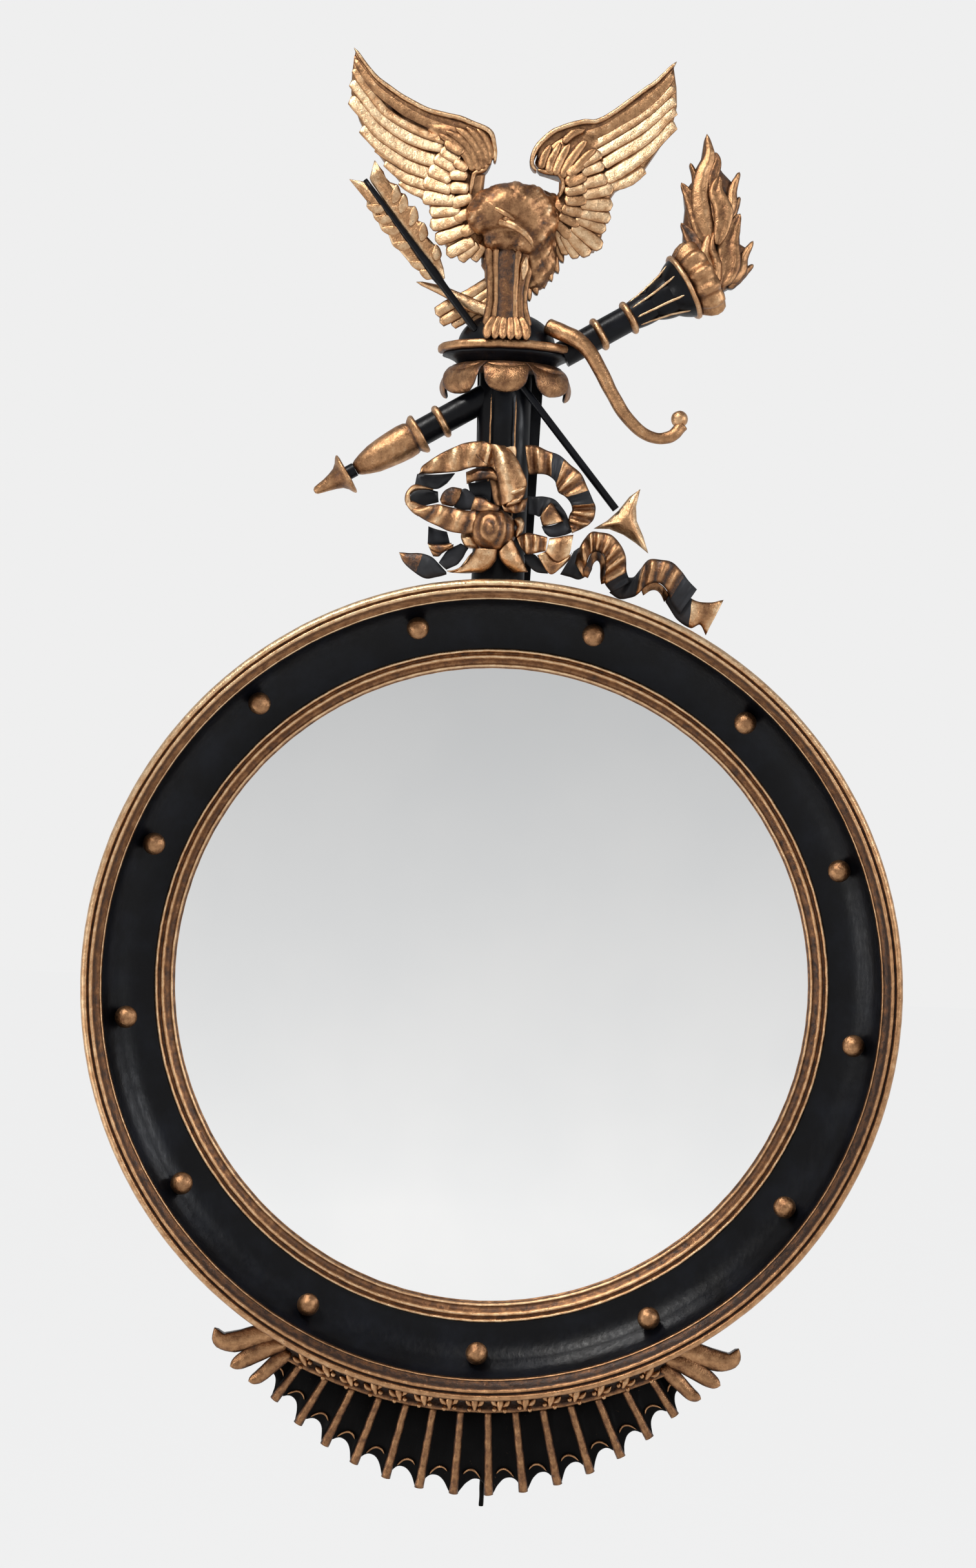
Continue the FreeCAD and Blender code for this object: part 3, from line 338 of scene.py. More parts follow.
def with_poles(rings, faces, relief):
    """Replace the two rings that lie on the axis by one point each."""
    steps, segments = rings.shape[:2]
    inner = rings[1:-1].reshape(-1, 3)
    poles = np.stack([rings[0, 0], rings[-1, 0]])
    first, last = len(inner), len(inner) + 1
    kept = []
    for face in faces:
        moved = []
        for index in face:
            ring = index // segments
            new = first if ring == 0 else last if ring == steps - 1 else index - segments
            if new not in moved:
                moved.append(new)
        kept.append(tuple(moved))
    values = np.concatenate([np.asarray(relief)[1:-1].reshape(-1), [relief[0][0], relief[-1][0]]])
    return np.vstack([inner, poles]), kept, values


# turned rings stand on the wall: their own axis points forward, which is +depth here
FACING = np.array([[1, 0, 0, 0], [0, 0, 1, 0], [0, 1, 0, 0], [0, 0, 0, 1]], float)


# ---------------------------------------------------------------- finishes


def colour_band(band, stops):
    """Set a colour ramp's stops from (position, colour)."""
    while len(band.elements) < len(stops):
        band.elements.new(0.5)
    for element, (position, colour) in zip(band.elements, stops):
        element.position = position
        element.color = (*colour, 1)


class Finish:
    """A node material, built a node at a time."""

    def __init__(self, name):
        self.material = bpy.data.materials.new(name)
        self.material.use_nodes = True
        self.tree = self.material.node_tree
        self.shader = self.tree.nodes["Principled BSDF"]

    def node(self, kind, settings=None, **inputs):
        made = self.tree.nodes.new(kind)
        for key, setting in (settings or {}).items():
            setattr(made, key, setting)
        for key, source in inputs.items():
            self.feed(made.inputs[int(key[1:])] if key[0] == "_" else made.inputs[key.replace("_", " ")],
                source)
        return made

    def feed(self, socket, source):
        if isinstance(source, bpy.types.NodeSocket):
            self.tree.links.new(source, socket)
        else:
            socket.default_value = source

    def place(self, stretch=(1, 1, 1)):
        coordinates = self.node("ShaderNodeTexCoord").outputs["Object"]
        if stretch == (1, 1, 1):
            return coordinates
        return self.node("ShaderNodeMapping", Vector=coordinates, Scale=stretch).outputs["Vector"]

    def noise(self, scale, detail=4.0, rough=0.55, stretch=(1, 1, 1)):
        made = self.node("ShaderNodeTexNoise", Vector=self.place(stretch), Scale=scale, Detail=detail,
            Roughness=rough)
        return made.outputs["Fac"]

    def maths(self, operation, first, second=0.5, third=0.5, clamp=False):
        made = self.node("ShaderNodeMath", {"operation": operation, "use_clamp": clamp}, _0=first, _1=second)
        made.inputs[2].default_value = third
        return made.outputs[0]

    def between(self, value, low, high, start=0.0, stop=1.0):
        made = self.node("ShaderNodeMapRange", {"interpolation_type": "SMOOTHSTEP"}, Value=value,
            From_Min=low, From_Max=high)
        made.inputs["To Min"].default_value = start
        made.inputs["To Max"].default_value = stop
        return made.outputs[0]

    def ramp(self, value, stops):
        made = self.node("ShaderNodeValToRGB", Fac=value)
        colour_band(made.color_ramp, stops)
        return made.outputs["Color"]

    def mix(self, share, first, second):
        made = self.node("ShaderNodeMix", {"data_type": "RGBA"})
        self.feed(made.inputs[0], share)
        self.feed(made.inputs[6], first if not isinstance(first, tuple) else (*first, 1))
        self.feed(made.inputs[7], second if not isinstance(second, tuple) else (*second, 1))
        return made.outputs[2]

    def bump(self, height, distance, strength=1.0, under=None):
        made = self.node("ShaderNodeBump", Height=height, Distance=distance, Strength=strength)
        if under is not None:
            self.feed(made.inputs["Normal"], under)
        return made.outputs["Normal"]

    def finish(self, **inputs):
        for key, source in inputs.items():
            self.feed(self.shader.inputs[key.replace("_", " ")], source)
        return self.material


BOLE = (0.085, 0.024, 0.010)
# the darkest stop is grime and painted shade in the hollows
GRIME_AND_SHADE = (0.030, 0.014, 0.008)
LEAF_DARK = (0.175, 0.082, 0.040)
LEAF_GOLD = (0.50, 0.275, 0.135)
LEAF_PALE = (0.90, 0.67, 0.42)
RUBBED_WOOD = (0.055, 0.030, 0.018)

# how much each thing brightens the leaf, the relief as painted shade in the hollows, and the level that they
# start from
BY_RELIEF_SHADE, BY_TONE, BY_PATCHES, BY_FLECKS, LEAF_START = 0.62, 0.58, 0.95, 0.27, -0.90


def gilt(name, follows=True, brightness=0.6, relief=0.7):
    """Water gilding over red bole: bright where it is rubbed, brown and dull in the hollows, where painted
    shade darkens it.
    """
    skin = Finish(name)
    if follows:
        high = skin.node("ShaderNodeAttribute", {"attribute_name": "relief"}).outputs["Fac"]
        tone = skin.node("ShaderNodeAttribute", {"attribute_name": "tone"}).outputs["Fac"]
    else:
        high, tone = relief, brightness
    patches = skin.noise(150, 6, 0.66)
    flecks = skin.noise(700, 4, 0.65)
    bright = skin.maths("MULTIPLY_ADD", high, BY_RELIEF_SHADE, LEAF_START)
    for value, share in ((tone, BY_TONE), (patches, BY_PATCHES), (flecks, BY_FLECKS)):
        bright = skin.maths("ADD", bright, skin.maths("MULTIPLY", value, share), clamp=value is flecks)
    # the ramp runs from grime and painted shade in the hollows, through dull leaf, to pale leaf on the ridges
    colour = skin.ramp(bright, [(0.0, GRIME_AND_SHADE), (0.20, LEAF_DARK), (0.56, LEAF_GOLD), (0.95, LEAF_PALE)])
    worn = skin.between(skin.noise(300, 6, 0.72), 0.62, 0.68)
    colour = skin.mix(worn, colour, BOLE)
    metal = skin.between(bright, 0.0, 0.3, 0.3, 1.0)
    metal = skin.maths("MULTIPLY", metal, skin.maths("SUBTRACT", 1.0, worn))
    rough = skin.between(flecks, 0.3, 0.7, 0.27, 0.46)
    normal = skin.bump(patches, 0.0022, 0.4)
    normal = skin.bump(flecks, 0.0006, 0.33, normal)
    return skin.finish(Base_Color=colour, Metallic=metal, Roughness=rough, Normal=normal)


def ebonised(name, black=(0.0022, 0.0022, 0.0030), bloom=(0.0065, 0.0075, 0.0110), wear=0.72, gloss=0.27,
        shine=0.16):
    """Black polish over wood: a bluish bloom, fine grain, and brown rubbed spots."""
    skin = Finish(name)
    haze = skin.noise(26, 5, 0.6)
    grain = skin.noise(300, 4, 0.6, (1, 1, 0.25))
    colour = skin.mix(skin.between(haze, 0.35, 0.8), black, bloom)
    rubbed = skin.between(skin.noise(240, 6, 0.72), wear, wear + 0.05)
    colour = skin.mix(rubbed, colour, RUBBED_WOOD)
    rough = skin.between(grain, 0.25, 0.75, gloss, gloss + 0.16)
    normal = skin.bump(skin.noise(60, 3, 0.5), 0.0022, 0.25)
    normal = skin.bump(grain, 0.0004, 0.35, normal)
    return skin.finish(Base_Color=colour, Roughness=rough, Normal=normal, Specular_IOR_Level=shine)


def mirror_glass():
    skin = Finish("mirror_glass")
    cloud = skin.noise(7, 3, 0.5)
    colour = skin.mix(skin.between(cloud, 0.3, 0.7), (0.93, 0.935, 0.935), (0.965, 0.965, 0.96))
    return skin.finish(Base_Color=colour, Metallic=1.0, Roughness=0.035)


def bare_pine():
    skin = Finish("bare_pine")
    rings = skin.noise(60, 6, 0.6, (1, 1, 0.06))
    dirt = skin.noise(9, 5, 0.6)
    colour = skin.ramp(rings, [(0.3, (0.19, 0.105, 0.05)), (0.55, (0.33, 0.20, 0.10)),
        (0.75, (0.24, 0.135, 0.065))])
    colour = skin.mix(skin.between(dirt, 0.45, 0.85), colour, (0.15, 0.092, 0.05))
    return skin.finish(Base_Color=colour, Roughness=0.72, Normal=skin.bump(rings, 0.0006, 0.5))


def old_brass():
    skin = Finish("old_brass")
    tarnish = skin.noise(240, 5, 0.6)
    colour = skin.ramp(tarnish, [(0.3, (0.23, 0.14, 0.05)), (0.6, (0.55, 0.38, 0.14)),
        (0.8, (0.66, 0.48, 0.20))])
    rough = skin.between(tarnish, 0.3, 0.7, 0.5, 0.3)
    return skin.finish(Base_Color=colour, Metallic=1.0, Roughness=rough,
        Normal=skin.bump(tarnish, 0.0003, 0.3))


def old_iron():
    skin = Finish("old_iron")
    rust = skin.noise(170, 6, 0.65)
    colour = skin.ramp(rust, [(0.35, (0.045, 0.04, 0.038)), (0.6, (0.085, 0.06, 0.045)),
        (0.8, (0.17, 0.075, 0.035))])
    metal = skin.between(rust, 0.4, 0.65, 0.85, 0.1)
    return skin.finish(Base_Color=colour, Metallic=metal, Roughness=0.6, Normal=skin.bump(rust, 0.0005, 0.5))


GILT = gilt("gilt_carving")
GILT_RIM = gilt("gilt_moulding")
GILT_PLAIN = gilt("gilt_plain", follows=False, brightness=0.45, relief=0.7)
EBONY = ebonised("ebonised_wood")
EBONY_RIBBON = ebonised("ebonised_ribbon", (0.020, 0.0205, 0.0225), (0.046, 0.048, 0.055), 0.7, 0.36)
EBONY_APRON = ebonised("ebonised_apron", (0.0012, 0.0010, 0.0010), (0.004, 0.0035, 0.0035), 0.66, 0.40, 0.06)
MIRROR = mirror_glass()
PINE = bare_pine()
BRASS = old_brass()
IRON = old_iron()

CAD_FINISHES = {
    "ebonised_wood": EBONY,
    "gilt_moulding": GILT_PLAIN,
    "gilt_carving": GILT_PLAIN,
    "mirror_glass": MIRROR,
    "bare_pine": PINE,
    "brass": BRASS,
    "iron": IRON,
}


def finish_cad_nodes():
    """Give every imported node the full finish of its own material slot."""
    for part in frame["record"]["subparts"]:
        for name in part.get("nodes", [part.get("node")]):
            thing = frame["nodes"].get(name)
            if thing is None:
                continue
            for place in thing.material_slots:
                place.material = CAD_FINISHES[part["material_slot"]]


# ---------------------------------------------------------------- ring, slip, glass and balls


def gilt_rim():
    """Outer moulding: a broad band, a reed, a hollow and a thin fillet at the lip."""
    rim = Carving()
    lip = LIP_RADIUS
    side = lip + 6
    # each row is radius, depth and relief; the relief is low in the hollows, which the finish darkens as
    # painted shade
    profile = [
        (side, 42.3, 0.2), (side + 2.5, 43.2, 0.4), (side + 5, 47, 0.35), (side + 7.3, 52, 0.4),
        (side + 9.2, 58, 0.5), (side + 10.2, 64, 0.7), (side + 10.5, 68, 0.95), (side + 10.1, 71, 1.0),
        (side + 8.9, 73.4, 1.0), (side + 7.2, 75.0, 0.95), (side + 5.7, 75.2, 0.9), (side + 4.7, 74.2, 0.7),
        (side + 4.2, 72.2, 0.05), (side + 3.8, 71.2, 0.0), (side + 3.4, 72.0, 0.15), (side + 2.8, 73.2, 0.8),
        (side + 1.7, 73.8, 1.0), (side + 0.6, 73.2, 0.8), (side - 0.1, 71.8, 0.3), (side - 0.6, 70, 0.0),
        (side - 1.4, 67.2, 0.12), (side - 2.6, 64.6, 0.25), (side - 3.7, 62.9, 0.3), (side - 4.4, 62.4, 0.2),
        (side - 4.8, 63.2, 0.8), (side - 5.4, 63.2, 1.0), (side - 5.9, 62.2, 0.8), (side - 6.0, 58.3, 0.2),
        (side, 58.3, 0.2),
    ]
    # painted light: the band's leaf is brightest at the top, where the light falls from above, and dullest at
    # the right and bottom
    turned(rim, profile, 400, FACING, wobble=0.06, quarter_light=(0.36, 0.98, 0.62, 0.34))
    return rim.piece("gilt_rim", [GILT_RIM], nodes=["outer_moulding"], slot="gilt_moulding", uneven=0.05)


def gilt_slip():
    """Inner slip: a worn outer fillet, a reed, a hollow and a thin fillet at the glass."""
    slip = Carving()
    edge = SLIP_RADIUS
    profile = [(edge - 6.2, 17.7, 0.2), (edge - 6.2, 22.1, 0.2), (edge - 0.2, 22.1, 0.2),
        (edge - 0.2, 25.6, 0.3), (edge - 0.5, 27.0, 0.7), (edge - 1.4, 28.2, 1.0), (edge - 2.4, 28.4, 1.0),
        (edge - 3.2, 27.4, 0.5), (edge - 4.0, 25.4, 0.05), (edge - 4.8, 24.6, 0.0), (edge - 5.4, 25.8, 0.3),
        (edge - 6.4, 27.0, 0.85), (edge - 7.6, 27.1, 0.9), (edge - 8.5, 26.0, 0.5), (edge - 9.3, 24.4, 0.1),
        (edge - 10.4, 22.8, 0.05), (edge - 11.8, 21.8, 0.1), (edge - 12.9, 21.6, 0.1),
        (edge - 13.6, 22.6, 0.7), (edge - 14.4, 23.2, 1.0), (edge - 15.2, 22.8, 0.9),
        (edge - 15.9, 21.4, 0.4), (edge - 16.0, 19.6, 0.1),]
    # painted light: the slip's leaf is brightest at the top, where the light falls from above, and dullest at
    # the right
    turned(slip, profile, 360, FACING, wobble=0.09, quarter_light=(0.60, 0.86, 0.66, 0.76))
    return slip.piece("gilt_slip", [GILT_RIM], nodes=["reeded_slip"], slot="gilt_moulding", uneven=0.08)


def glass():
    """The convex plate, silvered, as part of a sphere."""
    plate = Carving()
    radius, rise, edge, thick = 280.0, 28.5, 17.5, 3.0
    sphere = (radius**2 + rise**2) / (2 * rise)
    steps = 48
    profile = []
    for step in range(steps + 1):
        out = radius * step / steps
        profile.append((out, edge + rise - sphere + math.sqrt(sphere**2 - out**2), 0.5))
    for step in range(steps, -1, -1):
        out = radius * step / steps
        profile.append((out, edge + rise - thick - sphere + math.sqrt(sphere**2 - out**2), 0.5))
    turned(plate, profile, 256, FACING)
    return plate.piece("glass_plate", [MIRROR], nodes=["convex_glass"], slot="mirror_glass", uneven=0.0)


def geometry_tree(name, inputs):
    """An empty geometry tree with named number inputs."""
    tree = bpy.data.node_groups.new(name, "GeometryNodeTree")
    tree.interface.new_socket("Geometry", in_out="INPUT", socket_type="NodeSocketGeometry")
    for label, (kind, number) in inputs.items():
        socket = tree.interface.new_socket(label, in_out="INPUT", socket_type=kind)
        socket.default_value = number
    tree.interface.new_socket("Geometry", in_out="OUTPUT", socket_type="NodeSocketGeometry")
    return tree


def grown(name, tree, settings, points=None):
    """The plain mesh that a geometry tree makes, with its inputs set by identifier."""
    seed = bpy.data.objects.new(name + "_seed", points or bpy.data.meshes.new(name + "_seed"))
    bpy.context.scene.collection.objects.link(seed)
    modifier = seed.modifiers.new("grow", "NODES")
    modifier.node_group = tree
    for item in tree.interface.items_tree:
        if item.item_type == "SOCKET" and item.in_out == "INPUT" and item.name in settings:
            modifier[item.identifier] = settings[item.name]
    view = bpy.context.evaluated_depsgraph_get()
    mesh = bpy.data.meshes.new_from_object(seed.evaluated_get(view))
    seed.modifiers.remove(modifier)
    bpy.data.objects.remove(seed)
    mesh.name = name
    return mesh


def wired(tree, nodes, links):
    """Make a tree's nodes, each from its kind and values, and link them. A key in small letters is a
    setting, any other an input; a link is "node.output > node.input", by the socket's name or number."""
    made = {}
    for label, (kind, values) in nodes.items():
        made[label] = tree.nodes.new(kind)
        for key, value in values.items():
            if str(key).islower():
                setattr(made[label], key, value)
            else:
                made[label].inputs[key].default_value = value
    for line in links:
        (source, output), (target, place) = (end.rsplit(".", 1) for end in line.split(" > "))
        output, place = (int(socket) if socket.isdigit() else socket for socket in (output, place))
        tree.links.new(made[source].outputs[output], made[target].inputs[place])
    return made


# the hollow's arc runs from the slip to the lip, bent by 0.4 of its half length; a ball rests in it
BALL_SEAT_RADIUS = 311.1
BALL_SEAT_DEPTH = 43.1


def gilt_balls():
    """The balls set out round the hollow, each a little out of true."""
    tree = geometry_tree(
        "ball_ring",
        {
            "Balls": ("NodeSocketInt", BALL_COUNT),
            "Seat Radius": ("NodeSocketFloat", BALL_SEAT_RADIUS * MM),
            "Ball Radius": ("NodeSocketFloat", BALL_RADIUS * MM),
            "Depth": ("NodeSocketFloat", BALL_SEAT_DEPTH * MM),
            "Unevenness": ("NodeSocketFloat", 0.0004),
        },
    )
    nodes = {
        "given": ("NodeGroupInput", {}),
        "made": ("NodeGroupOutput", {}),
        "circle": ("GeometryNodeMeshCircle", {}),
        "ball": ("GeometryNodeMeshUVSphere", {"Segments": 40, "Rings": 24}),
        "spread": ("GeometryNodeInstanceOnPoints", {}),
        "stand": ("GeometryNodeTransform", {"Rotation": (math.radians(90), math.radians(90), 0)}),
        "offset": ("ShaderNodeCombineXYZ", {}),
        "forward": ("ShaderNodeMath", {"operation": "MULTIPLY", 1: -1}),
        "whole": ("GeometryNodeRealizeInstances", {}),
        "noise": ("ShaderNodeTexNoise", {"Scale": 70}),
        "centred": ("ShaderNodeVectorMath", {"operation": "SUBTRACT", 1: (0.5, 0.5, 0.5)}),
        "sized": ("ShaderNodeVectorMath", {"operation": "SCALE"}),
        "shift": ("GeometryNodeSetPosition", {}),
        "shade": ("GeometryNodeSetShadeSmooth", {}),
        "skin": ("GeometryNodeSetMaterial", {"Material": GILT_PLAIN}),
    }
    links = ["given.Balls > circle.Vertices", "given.Seat Radius > circle.Radius",
        "given.Ball Radius > ball.Radius", "circle.Mesh > spread.Points", "ball.Mesh > spread.Instance",
        "spread.Instances > stand.Geometry", "given.Depth > forward.0", "forward.0 > offset.Y",
        "offset.0 > stand.Translation", "stand.Geometry > whole.Geometry", "noise.Color > centred.0",
        "centred.0 > sized.0", "given.Unevenness > sized.Scale", "whole.Geometry > shift.Geometry",
        "sized.0 > shift.Offset", "shift.Geometry > shade.Geometry", "shade.Geometry > skin.Geometry",
        "skin.Geometry > made.Geometry",]
    wired(tree, nodes, links)
    mesh = grown("ball_ring", tree, {"Balls": BALL_COUNT})
    return dressed("ring_balls", mesh, nodes=["gilt_balls"])


# ---------------------------------------------------------------- pieces that repeat


def set_out_tree():
    """Sets one unit out on points that carry their own turn, each a little different in size."""
    tree = geometry_tree(
        "set_out",
        {
            "Unit": ("NodeSocketObject", None),
            "Size": ("NodeSocketFloat", 1.0),
            "Unevenness": ("NodeSocketFloat", 0.04),
            "Seed": ("NodeSocketInt", 5),
            "Finish": ("NodeSocketMaterial", None),
        },
    )
    nodes = {
        "given": ("NodeGroupInput", {}),
        "made": ("NodeGroupOutput", {}),
        "unit": ("GeometryNodeObjectInfo", {}),
        "turn": ("GeometryNodeInputNamedAttribute", {"data_type": "FLOAT_VECTOR", "Name": "turn"}),
        "least": ("ShaderNodeMath", {"operation": "SUBTRACT", 0: 1}),
        "most": ("ShaderNodeMath", {"operation": "ADD", 0: 1}),
        "chance": ("FunctionNodeRandomValue", {"data_type": "FLOAT"}),
        "sized": ("ShaderNodeMath", {"operation": "MULTIPLY"}),
        "spread": ("GeometryNodeInstanceOnPoints", {}),
        "whole": ("GeometryNodeRealizeInstances", {}),
        "skin": ("GeometryNodeSetMaterial", {}),
    }
    links = [
        "given.Unit > unit.Object", "given.Geometry > spread.Points", "unit.Geometry > spread.Instance",
        "turn.Attribute > spread.Rotation", "given.Unevenness > least.1", "given.Unevenness > most.1",
        "least.0 > chance.2", "most.0 > chance.3", "given.Seed > chance.Seed", "chance.1 > sized.0",
        "given.Size > sized.1", "sized.0 > spread.Scale", "spread.Instances > whole.Geometry",
        "whole.Geometry > skin.Geometry", "given.Finish > skin.Material", "skin.Geometry > made.Geometry",
    ]
    wired(tree, nodes, links)
    return tree


def set_out(name, unit, places, finish, uneven=0.04, seed=5):
    """One carved unit, set out at each (across, depth, up, turn); turn is an Euler about the frame's axes."""
    pattern = unit.mesh(name + "_unit", [finish], 0.0)
    model = bpy.data.objects.new(name + "_unit", pattern)
    points = bpy.data.meshes.new(name)
    points.from_pydata([(x * MM, -d * MM, z * MM) for x, d, z, turn in places], [], [])
    turns = points.attributes.new("turn", "FLOAT_VECTOR", "POINT")
    turns.data.foreach_set("vector", np.array([tuple(turn) for x, d, z, turn in places],
        np.float32).reshape(-1))
    settings = {"Unit": model, "Size": 1.0, "Unevenness": uneven, "Seed": seed, "Finish": finish}
    mesh = grown(name, set_out_tree(), settings, points)
    bpy.data.objects.remove(model)
    return dressed(name, mesh)


# ---------------------------------------------------------------- wings


def graded(points, first, last):
    """(across, depth, up) stations whose depth runs evenly from first to last."""
    depths = np.linspace(first, last, len(points))
    return [(x, d, z) for (x, z), d in zip(points, depths)]


def board(carving, outline, front, back, edge=1.5, relief=0.25, tone=0.3, plane=SEEN_PLANE, swell=0.0):
    """A flat piece sawn to an outline of (across, up), with its front arris taken off."""
    outer = np.array([set_at(x, z, front, plane) for x, z in outline])
    centre = outer.mean(axis=0)
    after, before = np.roll(outer, -1, axis=0), np.roll(outer, 1, axis=0)
    normal = np.stack([(after - before)[:, 1], -(after - before)[:, 0]], axis=1)
    normal /= np.linalg.norm(normal, axis=1)[:, None] + 1e-9
    area = np.sum(outer[:, 0] * after[:, 1] - after[:, 0] * outer[:, 1])
    inner = outer - normal * edge * (1 if area > 0 else -1)
    rings = []
    for rows, depth in ((outer, back), (outer, front - edge), (inner, front)):
        rings.append(np.stack([rows[:, 0], np.full(len(rows), depth), rows[:, 1]], axis=1))
    for share in (0.66, 0.33):
        rows = centre + (inner - centre) * share
        rings.append(np.stack([rows[:, 0], np.full(len(rows), front + swell * (1 - share)), rows[:, 1]],
            axis=1))
    rings = np.array(rings)
    around = len(outer)
    faces = tube_faces(len(rings), around)
    height = np.full(rings.shape[:2], relief)
    height[1] = height[2] = min(1.0, relief + 0.4)
    carving.add(rings.reshape(-1, 3), faces, height.reshape(-1), tone)


# each feather: its line from root to tip as (across, up), its width, and the brightness of its leaf
LEFT_PRIMARIES = [
    ([(-66, 713), (-80, 718), (-100, 726), (-120, 738), (-140, 762), (-147, 773)], 7, 0.60),
    ([(-68, 708), (-85, 711.5), (-100, 717.5), (-120, 730.5), (-138, 750.5), (-148.5, 763)], 10, 1.0),
    ([(-70, 696), (-88, 700.5), (-100, 706), (-120, 718.5), (-137, 736.5), (-148.5, 749)], 12, 0.92),
    ([(-74, 685), (-90, 690), (-100, 694.5), (-120, 708), (-129, 716), (-138, 724.5)], 12, 0.88),
    ([(-100, 691), (-108, 696), (-117, 701), (-126, 707)], 8, 0.62),
    ([(-76, 675), (-92, 680), (-100, 683.5), (-109, 689.5), (-117, 696)], 10, 0.85),
    ([(-78, 667), (-93, 672.5), (-104, 680)], 8.5, 0.75),
]
LEFT_COVERTS = [
    ([(-55, 699), (-71, 707.5)], 10, 0.8), ([(-58, 691), (-76, 701)], 10, 0.85),
    ([(-61, 682), (-81, 691)], 11, 0.85), ([(-60, 673.5), (-85, 680.5)], 11, 0.85),
    ([(-57, 665), (-86, 666.5)], 12, 0.85),
    ([(-79, 654), (-65, 656), (-52, 657)][::-1], 11, 0.8), ([(-78, 642), (-50, 651)][::-1], 11, 0.8),
    ([(-73, 630), (-46, 641)][::-1], 11, 0.78), ([(-63, 618.5), (-40, 632)][::-1], 10, 0.75),
    ([(-52, 614), (-37, 629)][::-1], 9, 0.7), ([(-41, 615), (-32, 627)][::-1], 9, 0.65),
]
LEFT_SMALL = [([(-52, 705), (-68, 714.5)], 9, 0.45), ([(-48, 691), (-60, 698)], 8, 0.6),
    ([(-48, 685.5), (-64, 686.5)], 9, 0.65), ([(-46, 675), (-63, 675.5)], 10, 0.7),
    ([(-43, 668), (-61, 661)], 10, 0.7), ([(-40, 657), (-58, 648)], 9, 0.6),
    ([(-36, 645), (-52, 636)], 9, 0.55),]
LEFT_FLUTES = [([(-43, 690), (-50, 703), (-62, 714), (-74, 720)], 7, 0.38),
    ([(-38, 690), (-44, 704), (-56, 717), (-68, 723)], 7, 0.30),
    ([(-34, 692), (-39, 706), (-49, 719), (-60, 726)], 7, 0.34),
    ([(-30, 695), (-34, 708), (-42, 720), (-51, 727)], 7, 0.28),
    ([(-28, 700), (-30, 710), (-35, 719), (-42, 726)], 6, 0.24),]
LEFT_SHOULDER = [(-84, 733), (-66, 734), (-48, 729), (-33, 721), (-28, 710), (-28, 699), (-35, 690),
    (-46, 687), (-56, 700), (-70, 712), (-84, 722)]
LEFT_EDGE = [(-25, 698), (-26, 712), (-31, 724), (-50, 732), (-60, 735), (-80, 739), (-100, 747.5),
    (-120, 760), (-131, 769), (-148, 790)]
LEFT_GUTTER = [(-31, 713), (-36, 722), (-48, 727), (-64, 730.5), (-82, 735.5), (-100, 743.5), (-120, 756),
    (-134, 769), (-147, 786)]
LEFT_RIDGE = [(-58, 722), (-70, 727), (-90, 735), (-110, 745.5), (-130, 760), (-147, 781)]
LEFT_INNER = [(-29, 699), (-34, 691), (-42, 688), (-44, 678), (-45, 668)]
LEFT_BOARD = [(-147, 786), (-130, 765), (-110, 750), (-90, 741), (-70, 736), (-50, 731), (-33, 722),
    (-28, 711), (-28, 700), (-33, 690), (-34, 676), (-30, 655), (-30, 632), (-40, 622), (-52, 620),
    (-62, 625), (-70, 637), (-75, 650), (-80, 663), (-92, 672), (-106, 682), (-119, 697), (-133, 715),
    (-142, 732), (-149, 752), (-149, 768),]

RIGHT_PRIMARIES = [
    ([(49, 711), (60, 718), (80, 731), (100, 745.5), (116, 761), (124, 768)], 9, 0.66),
    ([(60, 708), (80, 721), (100, 735), (116, 751), (125, 757.5)], 9.5, 0.95),
    ([(65, 699), (80, 709.5), (100, 723.5), (115, 740.5), (125, 750)], 11, 0.92),
    ([(67, 687), (80, 695), (100, 711), (115, 728), (125, 738)], 12, 0.9),
    ([(76, 690), (86, 697), (100, 708), (112, 721)], 7, 0.6),
    ([(69, 680.5), (80, 684), (90, 689), (101, 698.5)], 10, 0.85),
]
RIGHT_COVERTS = [([(48, 699), (64, 710)], 9, 0.75), ([(49, 692), (67, 700)], 9, 0.8),
    ([(50, 682), (70, 689)], 10, 0.82), ([(50, 673), (76, 680.5)], 10, 0.82),
    ([(48, 666), (76, 666)], 11, 0.8), ([(48, 658), (75, 655)], 10, 0.8),
    ([(45, 654), (71, 644.5)], 10, 0.75), ([(43, 648), (68, 629)], 11, 0.75),
    ([(38, 643), (58, 622.5)], 11, 0.72), ([(35, 640), (48, 620)], 9, 0.7), ([(29, 645), (39, 622)], 8, 0.6),
    ]
RIGHT_SMALL = [
    ([(36, 690), (50, 700)], 8, 0.45), ([(36, 682), (53, 690)], 8, 0.5), ([(35, 675), (54, 680)], 9, 0.55),
    ([(35, 668), (54, 669)], 9, 0.5), ([(33, 661), (52, 658)], 9, 0.5), ([(31, 655), (49, 648)], 8, 0.45),
    ([(28, 650), (42, 636)], 8, 0.42), ([(22, 663), (36, 640)], 7, 0.5),
]
RIGHT_FLUTES = [
    ([(14, 694), (16, 704), (22, 715)], 6.5, 0.30), ([(20, 691), (23, 703), (30, 717)], 6.5, 0.42),
    ([(26, 689), (30, 702), (38, 717)], 7, 0.48), ([(32, 687), (37, 699), (46, 713), (52, 720)], 7, 0.44),
    ([(36, 681), (42, 693), (52, 706), (60, 713)], 7, 0.38), ([(32, 717), (40, 725), (50, 729)], 6, 0.25),
]
RIGHT_SHOULDER = [(11, 708), (10, 698), (15, 692), (30, 688), (38, 680), (46, 690), (58, 704), (66, 716),
    (62, 728), (50, 731), (34, 727), (20, 719)]
RIGHT_EDGE = [(10, 692), (6, 700), (10, 712), (22, 725), (30, 729), (47, 735), (60, 736), (75, 745),
    (90, 757), (100, 765), (110, 773), (125, 789)]
RIGHT_GUTTER = [(12, 703), (15, 712), (24, 721), (36, 727), (50, 730.5), (64, 734.5), (80, 744.5),
    (95, 756.5), (110, 768.5), (123, 784)]
RIGHT_RIDGE = [(48, 722), (60, 728), (80, 740), (100, 753.5), (114, 768), (123, 779)]
RIGHT_INNER = [(11, 693), (20, 691), (29, 690), (33, 684), (33, 677), (30, 670)]
